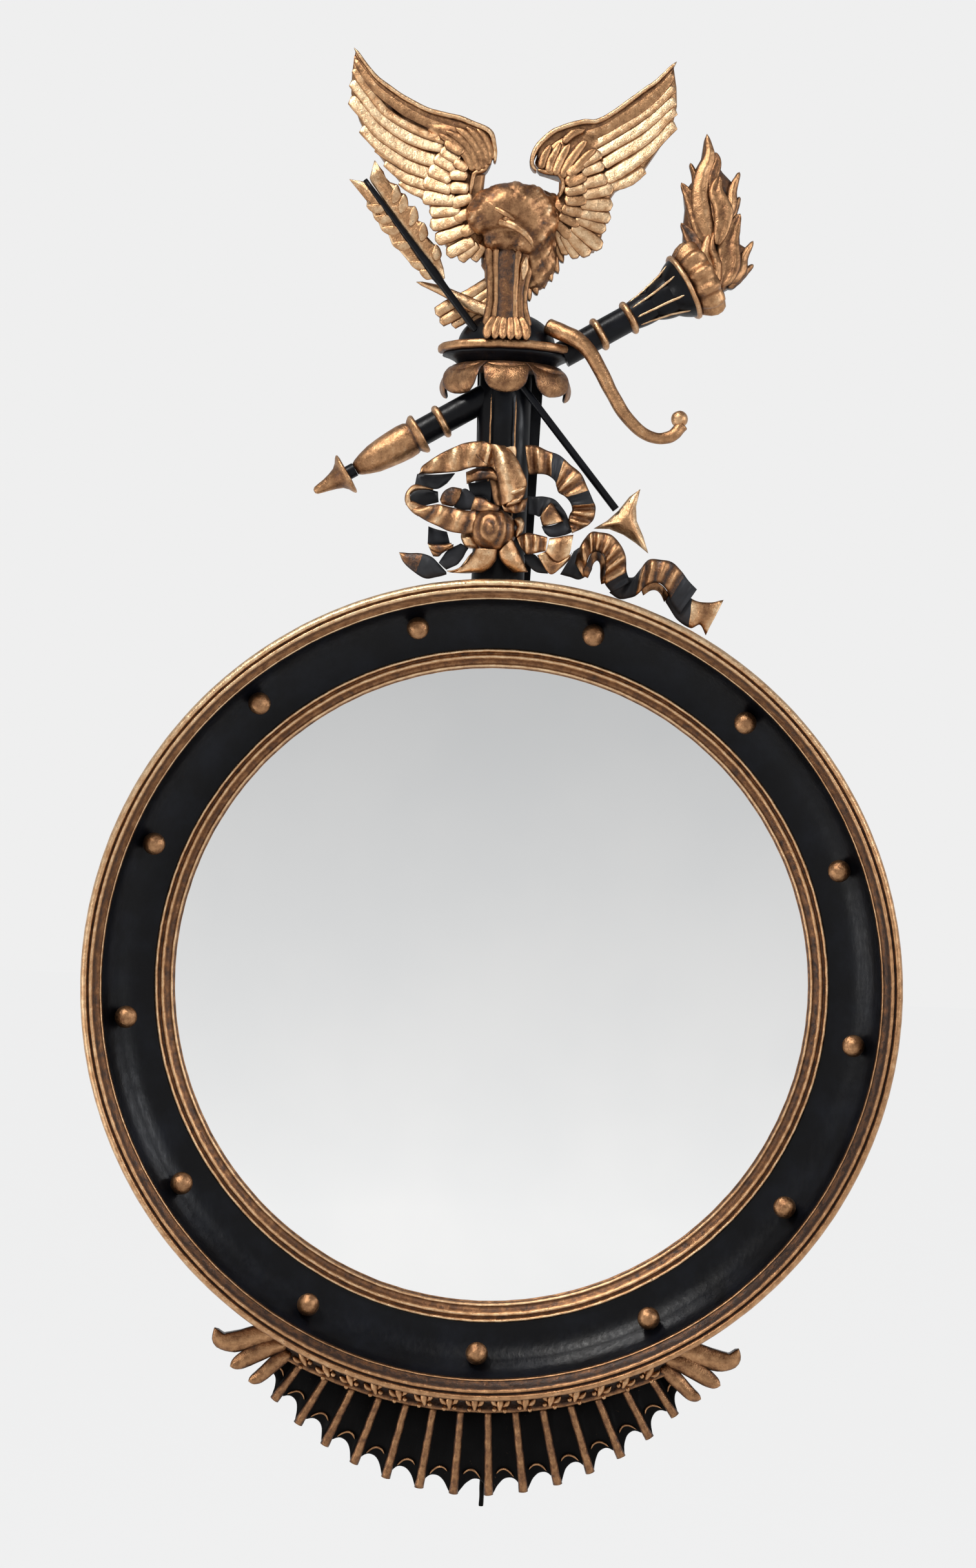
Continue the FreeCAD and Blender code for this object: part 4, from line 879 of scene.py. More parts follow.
RIGHT_BOARD = [(123, 785), (110, 770), (90, 754), (75, 743), (60, 734), (48, 733), (30, 727), (20, 720),
    (11, 709), (9, 700), (14, 692), (30, 687), (30, 676), (24, 664), (22, 650), (30, 632), (40, 626),
    (50, 626), (62, 628), (68, 640), (70, 655), (71, 668), (78, 680), (98, 693), (112, 715), (124, 736),
    (127, 752), (126, 768),]


def wing(name, node, base, shoulder, primaries, coverts, small, flutes, edge, gutter, ridge, inner, side):
    """One wing: feathers shingled from its leading edge down, over a dark ground."""
    carving = Carving()
    board(carving, base, 49.5, 35, edge=3, relief=0.5, tone=0.3)
    board(carving, shoulder, 53, 45, edge=4, relief=0.6, tone=0.32, swell=2.5)
    # each tier: its feathers, depths at root and tip, shares of width, dulling, and how it is cut
    tiers = (
        (primaries, (52, 50), (0.98, 1.18, 1.22, 1.12), 0.04,
         dict(crown=1.3, back=4.5, tip=0.05, root=0.02, lean=11 * side, stations=26, square=0.32)),
        (coverts, (55, 53), (0.98, 1.16, 1.16), 0.04,
         dict(crown=1.4, back=6, tip=0.16, root=0.05, lean=9 * side, stations=16, square=0.32)),
        (small, (57, 55), (0.98, 1.16, 1.12), 0.04,
         dict(crown=1.5, back=6, tip=0.25, root=0.05, lean=9 * side, stations=14, square=0.45)),
        (flutes, (56.5, 54.5), (1, 1.1, 0.8), 0,
         dict(crown=1.8, back=7, tip=0.3, root=0.1, stations=18, relief=(0.35, 0.9))),
    )
    for feathers, depths, shares, dulled, cut in tiers:
        for line, width, tone in feathers:
            blade(carving, graded(line, *depths), [width * share for share in shares],
                  tone=tone - dulled, **cut)
    blade(carving, graded(edge, 56, 53), [3.0, 4.6, 4.6, 4.2, 3.6, 2.8], crown=1.8, back=14, tone=0.62,
        tip=0.03, root=0.03, stations=56)
    blade(carving, graded(gutter, 53.5, 51.5), [6, 8, 8, 7, 5, 3], crown=1.2, back=7, tone=0.22, tip=0.03,
        root=0.05, stations=44, relief=(0.3, 0.75))
    blade(carving, graded(ridge, 52, 51), [12, 14, 14, 11, 6], crown=1.6, back=5, tone=0.34, tip=0.06,
        root=0.1, stations=36)
    blade(carving, graded(inner, 56, 55), [3.5, 4, 4, 3.5], crown=1.6, back=12, tone=0.45, stations=20)
    return carving.piece(name, [GILT], nodes=[node], slot="gilt_carving")


# ---------------------------------------------------------------- eagle

# feathers lie in rows away from the beak's root, each so wide at FEATHER_REACH; the back stays plain
BEAK_ROOT = np.array([-12.0, 78.0, 645.0])
FEATHER_ROW = 9.0
FEATHER_WIDE = 5.5
FEATHER_REACH = 42
FEATHERED_FROM = 36
CHIN_UP = 631
LEG_CLAWS = 6
EAGLE_GRAIN = 1.3
EAGLE_SMOOTHING = 10

# head, neck and breast: each mass's centre (across, depth, up), half sizes and tilt in degrees
EAGLE_MASSES = [
    ((-11, 61, 656), (36, 23, 21.5), 7), ((-29, 62, 649), (18, 18, 14.5), 12),
    ((8, 57, 646), (22, 19, 29), -6), ((-7, 46, 622), (28, 15, 30), 0),
    ((14, 46, 622), (18, 15, 32), -8), ((-5, 42, 662), (40, 13, 20), 0),
    ((-10, 46, 604), (20, 13, 22), 0), ((-10, 59, 632), (23, 13, 11), 2),
]


def modelled(name, masses, grain, smoothing):
    """One skin over overlapping rounded masses."""
    builder = bmesh.new()
    for (x, d, z), (wide, deep, tall), tilt in masses:
        place = Matrix.Translation((x * MM, -d * MM, z * MM)) @ Matrix.Rotation(math.radians(-tilt), 4, "Y")
        place = place @ Matrix.Diagonal((wide * MM, deep * MM, tall * MM, 1))
        bmesh.ops.create_uvsphere(builder, u_segments=36, v_segments=22, radius=1, matrix=place)
    mesh = bpy.data.meshes.new(name)
    builder.to_mesh(mesh)
    builder.free()
    lump = bpy.data.objects.new(name, mesh)
    bpy.context.scene.collection.objects.link(lump)
    skin = lump.modifiers.new("skin", "REMESH")
    skin.mode = "VOXEL"
    skin.voxel_size = grain * MM
    ease = lump.modifiers.new("ease", "SMOOTH")
    ease.factor = 0.5
    ease.iterations = smoothing
    made = bpy.data.meshes.new_from_object(lump.evaluated_get(bpy.context.evaluated_depsgraph_get()))
    bpy.data.objects.remove(lump)
    made.name = name
    return made


def eagle_body():
    """Head, neck and breast in one, cut over with feathers that lie away from the beak."""
    mesh = modelled("eagle_head_and_breast", EAGLE_MASSES, EAGLE_GRAIN, EAGLE_SMOOTHING)
    count = len(mesh.vertices)
    spots = np.empty(count * 3, np.float32)
    normals = np.empty(count * 3, np.float32)
    mesh.vertices.foreach_get("co", spots)
    mesh.vertices.foreach_get("normal", normals)
    spots = spots.reshape(-1, 3) / MM * (1, -1, 1)
    normals = normals.reshape(-1, 3) * (1, -1, 1)
    x, d, z = spots.T
    away = spots - BEAK_ROOT
    reach = np.linalg.norm(away, axis=1)
    angle = np.arctan2(away[:, 2], away[:, 0])
    columns = angle * FEATHER_REACH / FEATHER_WIDE + 0.5 * np.sin(reach / 7)
    column = np.floor(columns)
    rows = reach / FEATHER_ROW + 0.5 * (column % 2) + 0.35 * np.sin(2.3 * column)
    along = rows - np.floor(rows)
    across = np.abs(2 * (columns - column) - 1)
    feather = (0.3 + 0.7 * along**1.5) * (1 - across**4)
    planes = np.sin(0.36 * x + 0.20 * z + 1) + np.sin(0.31 * z - 0.24 * x + 0.15 * d)
    planes = planes + 0.7 * np.sin(0.55 * x - 0.42 * z)
    open_skin = np.clip((reach - 12) / 14, 0, 1) * np.clip((d - FEATHERED_FROM) / 8, 0, 1)
    # chin: the crease under the head, cut into the skin and darkened as painted shade
    chin = np.exp(-(((z - CHIN_UP - 0.05 * (x + 10)) / 3.2) ** 2)) * np.clip((28 - np.abs(x + 12)) / 8, 0,
        1) * (d > 52)
    height = open_skin * (0.8 * feather + 0.45 * planes) - 0.6 * chin
    spots = spots + normals * height[:, None]
    mesh.vertices.foreach_set("co", (spots * (MM, -MM, MM)).astype(np.float32).reshape(-1))
    # shade is the relief that the finish follows: darker in the cuts between feathers, brighter on the smooth
    # skin, and painted shade along the chin's crease
    shade = 0.36 + open_skin * (0.38 * feather + 0.17 * planes) + 0.2 * (1 - open_skin) - 0.15 * chin
    tone = 0.50 + 0.25 * np.clip((x + 5) / 25, 0, 1) * np.clip((z - 636) / 20, 0, 1)
    for label, values in (("relief", np.clip(shade, 0, 1)), ("tone", tone)):
        layer = mesh.attributes.new(label, "FLOAT", "POINT")
        layer.data.foreach_set("value", values.astype(np.float32))
    mesh.materials.clear()
    mesh.materials.append(GILT)
    mesh.polygons.foreach_set("use_smooth", [True] * len(mesh.polygons))
    return dressed("eagle_head_and_breast", mesh, nodes=["eagle_body"])


def eagle_details():
    """Beak, brow and eye, the plumage's edge, the legs and the claws over the rock."""
    carving = Carving()
    plane = 60
    rod(carving, [(-18, 76, 645, 3.5), (-11, 82, 644, 3.6), (-4, 84.5, 641, 3.4), (3, 84.5, 636, 2.9),
        (8, 83, 630, 2.0), (10, 80.5, 625, 0.7)], tone=0.75, plane=plane)
    rod(carving, [(-30, 76, 657, 1.2), (-22, 80.5, 656, 2.2), (-14, 82.5, 652, 2.3), (-7, 82.5, 647, 1.3)],
        tone=0.5, plane=plane)
    rod(carving, [(-16.5, 80.5, 648.2, 1.2), (-13.2, 83.0, 648, 2.3), (-10, 81.0, 646.5, 1.0)], tone=0.45,
        plane=plane)
    # the legs' strips, each with four places across, width, tone and depth; the tones paint light and shade:
    # bright strips beside a dark middle, as on lit and shaded flutes
    for x0, x1, x2, x3, width, tone, depth in ((-27, -25, -24, -27, 7, 0.14, 58),
            (-20.5, -20, -19, -21, 5, 0.30, 61), (-11.5, -11.5, -11, -11.5, 14, -0.28, 62.5),
            (-2, -3, -3.5, -2, 5, 0.30, 62), (4.5, 2.5, 0.5, 3.5, 6, -0.05, 61), (10, 7, 4, 9, 6, 0.18, 58),
            ):
        blade(carving, graded([(x0, 624), (x1, 606), (x2, 580), (x3, 556)], depth, depth - 2),
            [width + 2, width + 1, width, width + 1], crown=2.2, back=16, tone=tone, tip=0.05, root=0.1,
            plane=plane)
    for x, z, out, drop, tone in ((34, 644, 3, -9, 0.4), (36, 632, 3, -9, 0.35), (34, 622, 2, -9, 0.3),
            (31, 613, 1, -9, 0.3), (26, 606, 1, -9, 0.3), (21, 599, 0, -8, 0.25), (15, 593, 0, -8, 0.25),
            (10, 588, -1, -8, 0.25)):
        blade(carving, graded([(x - 16, z + 20), (x - 6, z + 8), (x + out, z + drop)], 56, 48), [8, 10, 6],
            crown=1.8, back=12, tone=tone, tip=0.3, root=0.1, lean=8, plane=plane, rib=0.5)
    # a painted highlight: a small bright drop on the legs' front, right of the middle
    blade(carving, graded([(4.5, 617), (4, 608), (2.5, 597)], 64, 63.5), [4, 7, 4], crown=2, back=6,
        tone=0.75, tip=0.4, root=0.4, plane=plane)
    for number in range(LEG_CLAWS):
        x = -24 + 6.2 * number
        blade(carving, graded([(x * 0.7 - 3, 566), (x - 1 + 0.5 * (number % 2), 556), (x * 1.08, 547)], 61,
            67), [6, 8.5, 7.5], crown=2.2, back=8, tone=0.34, tip=0.3, root=0.15, rib=-0.8, plane=plane)
    return carving.piece("eagle_beak_and_legs", [GILT], slot="gilt_carving")


def eagle_tail():
    """Four long feathers, shingled behind the legs."""
    carving = Carving()
    lines = [([(-20, 600), (-40, 585), (-60, 573), (-70, 566)], 10, 0.75),
        ([(-18, 592), (-38, 578), (-55, 565), (-66, 559)], 10, 0.7),
        ([(-18, 586), (-35, 572), (-46, 563), (-56, 557)], 9, 0.6),
        ([(-16, 580), (-30, 569), (-44, 559)], 9, 0.5)]
    for number, (line, width, tone) in enumerate(lines):
        blade(carving, graded(line, 40, 34 - number * 0.5), [width * 0.8, width, width], crown=1.4, back=6,
            tone=tone - 0.1, tip=0.05, root=0.05, rib=0.8, lean=-6, plane=60, square=0.35)
    return carving.piece("eagle_tail_feathers", [GILT], nodes=["eagle_tail"], slot="gilt_carving")


# ---------------------------------------------------------------- bow, arrow and torch


def bow():
    """Two limbs, the right one ending in a ball."""
    left = Carving()
    blade(left, graded([(-22, 569), (-36, 573), (-50, 579), (-66, 586), (-87, 592)], 43, 36),
        [11, 12, 11, 8, 3], crown=3, back=6, tone=0.7, tip=0.1, rib=0.8, plane=60)
    left.piece("bow_left_end", [GILT], nodes=["bow_left_limb"], slot="gilt_carving")
    right = Carving()
    rod(right, [(26, 44, 561, 7), (38, 50, 556, 7.2), (50, 54, 551, 7), (62, 56, 540, 6.4), (72, 56, 524, 6),
        (82, 55, 506, 5.6), (94, 54, 488, 5.4), (108, 53, 475, 5), (122, 52, 470, 4.8), (134, 51, 473, 5.2),
        (142, 50, 482, 5.4)], tone=0.5, count=70, around=18)
    ball = [(7.2 * math.sin(turn), 7.2 * math.cos(turn), 0.85) for turn in np.linspace(0, math.pi, 14)]
    x, z = set_at(139.5, 487, 50)
    turned(right, ball, 24, Matrix.Translation((x, 50, z)), tone=0.6)
    right.piece("bow_right_end", [GILT], nodes=["bow_right_limb"], slot="gilt_carving")


# the arrow's two vanes, its nock, and the tips of the barbs cut across them
LEFT_VANE = [(-146.7, 676.6), (-142.9, 671.7), (-137.4, 668), (-134.7, 662.9), (-131.3, 659.2),
    (-131.4, 654.1), (-126.9, 650.3), (-125, 645), (-121.1, 641.6), (-118.4, 635.6), (-112.5, 631.9),
    (-109, 623.1), (-102.6, 618.6), (-98.1, 613.7), (-93.3, 607.9), (-88.4, 604.7), (-85, 601.6),
    (-78.8, 597.5), (-72.9, 594.6), (-71.6, 597.5), (-86.7, 617.1), (-104.9, 639.4), (-120.1, 658.9),
    (-131.5, 674.3)]
RIGHT_VANE = [(-126.2, 693.2), (-122, 688.3), (-118.5, 684.2), (-116.3, 679.2), (-112.4, 675.3),
    (-106.6, 673.6), (-105.8, 667.8), (-99.9, 666), (-100, 660.9), (-96.9, 656.1), (-90.9, 655.8),
    (-90.3, 648.6), (-87.5, 643.7), (-82.9, 642.3), (-82.9, 635.9), (-79.7, 628.8), (-77.3, 625.5),
    (-71.8, 624.3), (-69.3, 618.9), (-66.9, 610.6), (-64.7, 604.7), (-62.9, 596.4), (-65, 594.9),
    (-68.7, 599.1), (-83.9, 617.9), (-102.1, 640.2), (-117.2, 659.7), (-128.7, 675.1), (-129.8, 678)]


ARROW_NOCK = (-130.2, 677.2)
LEFT_BARBS = [(-131.4, 654.1), (-125, 645), (-118.4, 635.6), (-109, 623.1), (-93.3, 607.9), (-85, 601.6)]
RIGHT_BARBS = [(-106.6, 673.6), (-99.9, 666), (-90.9, 655.8), (-82.9, 642.3), (-71.8, 624.3)]


def arrow():
    vane = Carving()
    board(vane, LEFT_VANE, 47, 44.5, edge=1.2, relief=0.6, tone=0.7, plane=60)
    board(vane, RIGHT_VANE, 47, 44.5, edge=1.2, relief=0.6, tone=0.7, plane=60)
    along = np.array([82.0, -102.0]) / math.hypot(82, 102)
    out = np.array([-along[1], along[0]])
    start = np.array(ARROW_NOCK)
    for side, tips in ((-1, LEFT_BARBS), (1, RIGHT_BARBS)):
        for tip in np.array(tips, float):
            near = start + along * (np.dot(tip - start, along) + 11)
            root = near + out * side * 4.0
            middle = (root + tip) / 2 + along * 1.6
            blade(vane, graded([tuple(root), tuple(middle), tuple(tip)], 47.4, 47.6), [5, 9, 4], crown=0.7,
                back=2, tone=0.7, tip=0.3, root=0.3, lean=-9 * side, stations=14, plane=60)
    shaft = Carving()
    rod(shaft, [(-134, 47, 678.5, 2.1), (-96, 47, 631, 2.9), (-80, 47, 611, 3.9), (-72, 47, 601, 4.2),
        (-64, 47, 591, 3.4), (-40, 47, 561, 3.2), (-35, 47, 555, 3.2)], tone=0.3, around=16)
    shaft.piece("arrow_shaft_tapered", [EBONY], nodes=["arrow_upper_shaft"], slot="ebonised_wood",
        uneven=0.05)
    vane.piece("arrow_flight", [GILT], nodes=["arrow_feather"], slot="gilt_carving")
    head = Carving()
    outline = [(118, 373), (113, 387), (107, 400), (106, 412), (109, 427), (100, 420), (91, 408), (82, 399),
        (71, 392), (84, 392), (96, 388), (107, 381)]
    board(head, outline, 48, 44.5, edge=2.0, relief=0.6, tone=0.75, swell=5)
    head.piece("arrow_point", [GILT], nodes=["arrow_head"], slot="gilt_carving")


# the torch's axis: its lower ring's place, its rise in degrees, and places along it from that ring
TORCH_START = (-62.0, 32.0, 479.8)
TORCH_TILT = 31.2
TORCH_RING_PLACES = (0, 154, 183)
CUP_LINE_TURNS = (-62, -22, 22, 62)
CUP_OUTLINE = ((188, 12.2), (200, 14.3), (212, 17.2), (222, 20.6), (231, 24.6))
RIM_ROLLS = 12


def on_torch(along=0.0):
    """The matrix that sets a turned form on the torch's axis, so far from its lower ring."""
    tilt = math.radians(TORCH_TILT)
    x, d, z = TORCH_START
    reach = Matrix(((-math.sin(tilt), 0, math.cos(tilt), x), (0, 1, 0, d),
        (math.cos(tilt), 0, math.sin(tilt), z), (0, 0, 0, 1)))
    return reach @ Matrix.Translation((0, 0, along))


def bead(radius, centre, half, relief=0.9):
    """Stations of a half-round bead of a turned profile."""
    return [(radius + half * math.sin(turn) * 0.9, centre - half * math.cos(turn),
        relief * (0.4 + 0.6 * math.sin(turn))) for turn in np.linspace(0, math.pi, 7)]


def torch():
    rings = Carving()
    for along in TORCH_RING_PLACES:
        profile = [(11.2, -3.4, 0.1), (12.2, -3.2, 0.4)] + bead(12.6, 0, 2.7) + [(12.2, 3.2, 0.4),
            (11.2, 3.4, 0.1)]
        turned(rings, profile, 56, on_torch(along), tone=0.6)
    rings.piece("torch_bands", [GILT_RIM], nodes=["torch_rings"], slot="gilt_moulding")
    lines = Carving()
    tilt = math.radians(TORCH_TILT)
    axis, cross = np.array([math.cos(tilt), math.sin(tilt)]), np.array([-math.sin(tilt), math.cos(tilt)])
    for swing in CUP_LINE_TURNS:
        stations = []
        for along, radius in CUP_OUTLINE:
            x = TORCH_START[0] + axis[0] * along + cross[0] * radius * math.sin(math.radians(swing))
            z = TORCH_START[2] + axis[1] * along + cross[1] * radius * math.sin(math.radians(swing))
            stations.append((x, TORCH_START[1] + radius * math.cos(math.radians(swing)), z))
        blade(lines, stations, [1.6, 2.2, 2.0], crown=0.9, back=1.5, tone=0.75, place=False)
    lines.piece("torch_cup_lines", [GILT], slot="gilt_moulding")
    grip = Carving()
    profile = [(0, -84, 0.2), (5, -84, 0.3), (7, -81, 0.7), (9.5, -75, 0.8), (12, -66, 0.85),
        (13.6, -56, 0.9), (14.6, -45, 0.9), (15, -36, 0.85), (14.6, -30, 0.7), (13.4, -27.5, 0.2),
        (15, -26, 0.6), (17.3, -23.2, 1.0), (17.6, -21.2, 1.0), (16.4, -19.8, 0.7), (12, -19.4, 0.3),
        (0, -19.4, 0.3)]
    turned(grip, profile, 72, on_torch(), tone=0.42)
    grip.piece("torch_grip_turned", [GILT_RIM], nodes=["torch_grip"], slot="gilt_moulding")
    foot = Carving()
    profile = [(0, -91, 0.3), (15, -91.1, 0.5), (17.6, -91.8, 1.0), (17.8, -93.2, 1.0), (16.2, -94.8, 0.8),
        (12.6, -97, 0.6), (9.4, -100.5, 0.5), (7.2, -106, 0.6), (5.4, -112, 0.75), (4.2, -118, 0.85),
        (3.2, -122, 0.9), (1.8, -123.7, 0.9), (0, -124, 0.9)]
    turned(foot, profile, 72, on_torch(), tone=0.42)
    foot.piece("torch_end_turned", [GILT_RIM], nodes=["torch_finial"], slot="gilt_moulding")
    rim = Carving()
    turned(rim, [(22, 234.6, 0.1), (28.2, 234.4, 0.6), (29.6, 236, 1.0), (29.4, 238, 0.8), (28, 239, 0.1),
        (22, 239, 0.1)], 96, on_torch(), tone=0.6)
    profile = [(20, 238.5, 0.1), (26, 238.2, 0.3), (29.5, 241, 0.6), (32.6, 245.5, 0.85), (34.3, 251, 0.95),
        (34.0, 256, 0.95), (31.6, 260, 0.9), (27.5, 261.5, 0.6), (20, 261, 0.1)]
    turned(rim, profile, RIM_ROLLS * 14, on_torch(), tone=0.35, flute=(RIM_ROLLS, 0.13))
    rim.piece("torch_rim_gadrooned", [GILT_RIM], nodes=["torch_rim"], slot="gilt_moulding")


# the ground that the flame's tongues rise from
FLAME_MASS = [(150, 608), (142, 626), (137, 640), (137, 655), (138, 668), (136, 680), (143, 690), (145, 700),
    (150, 710), (152, 727), (157, 719), (161, 708), (168, 698), (176, 690), (177, 672), (178, 660),
    (184, 650), (185, 638), (192, 634), (188, 620), (190, 614), (180, 603), (166, 594), (156, 598)]
# the flame's tongues: line from root to tip, widths, depth at root and tip, brightness, hollow
FLAME_TONGUES = [
    ([(160, 640), (151, 665), (150, 690), (156, 710), (153, 729)], (14, 17, 14, 10, 3), 45, 38, 0.6, 0.0),
    ([(168, 640), (164, 668), (160, 690), (163, 705), (161, 714)], (12, 14, 11, 7, 3), 43, 38, 0.45, 1.5),
    ([(152, 662), (147, 680), (145, 692), (140, 704)], (10, 10, 7, 3), 41, 36, 0.45, 0.0),
    ([(154, 636), (150, 655), (143, 672), (133, 687)], (12, 17, 14, 3), 46, 38, 0.6, 2.4),
    ([(150, 616), (148, 632), (142, 643), (134, 653)], (9, 14, 12, 3), 49, 42, 0.35, 2.6),
    ([(166, 636), (170, 662), (163, 680), (165, 694)], (10, 17, 13, 5), 49, 43, 0.75, 2.0),
    ([(172, 656), (176, 670), (177, 684), (182, 698)], (10, 10, 8, 3), 42, 37, 0.5, 0.0),
    ([(174, 650), (177, 660), (180, 669), (183, 677)], (8, 8, 6, 3), 40, 36, 0.45, 0.0),
    ([(170, 600), (176, 618), (175, 636), (178, 650), (184, 663)], (12, 20, 19, 14, 4), 49, 41, 0.65, 2.8),
    ([(178, 604), (186, 615), (188, 626), (196, 640)], (10, 12, 9, 3), 42, 36, 0.45, 0.0),
    ([(176, 600), (184, 608), (190, 614), (197, 620)], (9, 9, 7, 3), 40, 34, 0.4, 0.0),
    ([(157, 604), (158, 616), (155, 628), (158, 644)], (9, 12, 9, 4), 51, 47, 0.8, 0.0),
    ([(166, 602), (166, 618), (161, 632), (163, 648)], (8, 9, 7, 3), 50, 46, 0.5, 0.0),
    ([(160, 600), (152, 606), (147, 616), (148, 626)], (8, 10, 8, 4), 50, 46, 0.5, 0.0),
]


def flame():
    """Hollowed tongues over one plain mass."""
    carving = Carving()
    board(carving, FLAME_MASS, 39, 22, edge=4, relief=0.15, tone=0.25, swell=4)
    for line, widths, low, high, tone, dish in FLAME_TONGUES:
        blade(carving, graded(line, low, high), widths, crown=3.6, back=9, tone=tone - 0.27, tip=0.08,
            root=0.14, rib=0.0 if dish else 0.8, hollow=dish, stations=34, across=13)
    return carving.piece("torch_flame_tongues", [GILT], nodes=["torch_flame"], slot="gilt_carving")


# ---------------------------------------------------------------- crest


# (across, depth) of the middle of the half-round mouldings and of the leaf collar
CREST_CENTRE = (-8.0, 22.0)
COLLAR_CENTRE = (-8.5, 10.0)


def half_round(carving, profile, tone, steps=64):
    """A half-round moulding against the backboard, from (half width, half depth, up, relief)."""
    x, depth = CREST_CENTRE
    rings = []
    for turn in np.radians(np.linspace(-90, 90, steps)):
        rings.append([(x + wide * math.sin(turn), depth + deep * math.cos(turn), up) for wide, deep, up,
            relief in profile])
    relief = np.tile([row[3] for row in profile], steps)
    carving.add(np.array(rings).reshape(-1, 3), tube_faces(steps, len(profile)), relief, tone)


def crest():
    rim = Carving()
    half_round(rim, [(10, 8, 539.7, 0.2), (57.5, 40.5, 539.7, 0.3), (59.4, 41.8, 541, 0.8),
        (59.9, 42.2, 543.2, 0.9), (59.4, 41.8, 545.4, 1.0), (58, 40.8, 546.8, 0.8), (10, 8, 546.9, 0.3)],
        0.42)
    rim.piece("capital_plate", [GILT_RIM], nodes=["capital_rim"], slot="gilt_moulding")
    cove = Carving()
    half_round(cove, [(10, 8, 529.2, 0.2), (41, 30, 529.2, 0.3), (42.5, 31.5, 531, 0.4), (45, 33, 533.2, 0.5),
        (49.5, 35.6, 535.4, 0.5), (54.6, 38.8, 537, 0.6), (55.6, 39.4, 538, 0.8), (55.4, 39.2, 539.2, 0.7),
        (10, 8, 539.2, 0.3)], 0.4)
    cove.piece("capital_hollow", [EBONY], nodes=["capital_cove"], slot="ebonised_wood")
    collar = Carving()
    x, depth = COLLAR_CENTRE
    half_round(collar, [(30, 20, 522, 0.2), (43, 33, 519.5, 0.3), (49, 38.3, 521.5, 0.6),
        (50.5, 39.3, 525, 0.8), (47, 37, 529, 0.6), (30, 20, 529, 0.3)], 0.12)
    for degrees, width in ((0, 38), (-46, 44), (46, 44), (-80, 26), (80, 26)):
        first = len(collar.points)
        path = [(x, depth + 34, 530), (x, depth + 44, 528.5), (x, depth + 51.5, 522), (x, depth + 54.5, 514),
                (x, depth + 54, 507), (x, depth + 51.5, 502)]
        blade(collar, path, [width * 1.1, width * 1.05, width, width * 0.92, width * 0.86], crown=2.2,
            back=2.5, tone=0.2, tip=0.40, root=0.02, rib=-0.6, place=False, stations=34, across=17, lining=1,
            square=0.5)
        collar.swing(first, degrees, x, depth)
    collar.piece("leaf_collar_carved", [GILT, EBONY], nodes=["leaf_collar"], slot="gilt_carving")
    lines = Carving()
    for x in (-20, 1):
        blade(lines, graded([(x, 384), (x, 440), (x, 502)], 50.2, 50.2), [1.4, 1.4, 1.4], crown=0.6, back=1,
            tone=0.3, plane=50)
    lines.piece("column_gilt_lines", [GILT], slot="gilt_carving")


# ---------------------------------------------------------------- ribbon


# the knot: its centre (across, up), its half sizes, and how many grooves cross it
KNOT = (-14.5, 385.5, 20.0, 18.5)
KNOT_GROOVES = 1.8


def swirled_ball(carving, centre, halves, tone, steps=40, segments=72):
    """A bud of cloth: a ball cut with nested, slightly twisted oval grooves on its front."""
    (x, depth, z), (wide, deep, tall) = centre, halves
    rings, relief = [], []
    for turn in np.linspace(0, math.pi, steps):
        around = np.linspace(0, 2 * math.pi, segments, endpoint=False)
        across, up = math.sin(turn) * np.cos(around), math.sin(turn) * np.sin(around)
        oval = np.sqrt(((across + 0.10) * 1.7) ** 2 + (up - 0.08) ** 2) + 0.10 * np.sin(around + 1)
        ripple = 0.5 + 0.5 * np.cos(2 * math.pi * KNOT_GROOVES * oval)
        bold = np.clip(math.cos(turn) * 3, 0, 1)
        size = 1 + 0.06 * (ripple - 1) * bold
        rings.append(np.stack([x + wide * across * size, depth + deep * math.cos(turn) * size,
            z + tall * up * size], axis=1))
        # painted shade in the grooves: the relief drops in each groove on the front
        relief.append(0.35 + 0.55 * ripple * bold + 0.1 * (1 - bold))
    faces = []
    for ring in range(steps - 1):
        for step in range(segments):
            after = (step + 1) % segments
            low, high = ring * segments, (ring + 1) * segments
            faces.append((low + step, low + after, high + after, high + step))
    points, faces, relief = with_poles(np.array(rings), faces, np.array(relief))
    carving.add(points, faces, relief, tone)


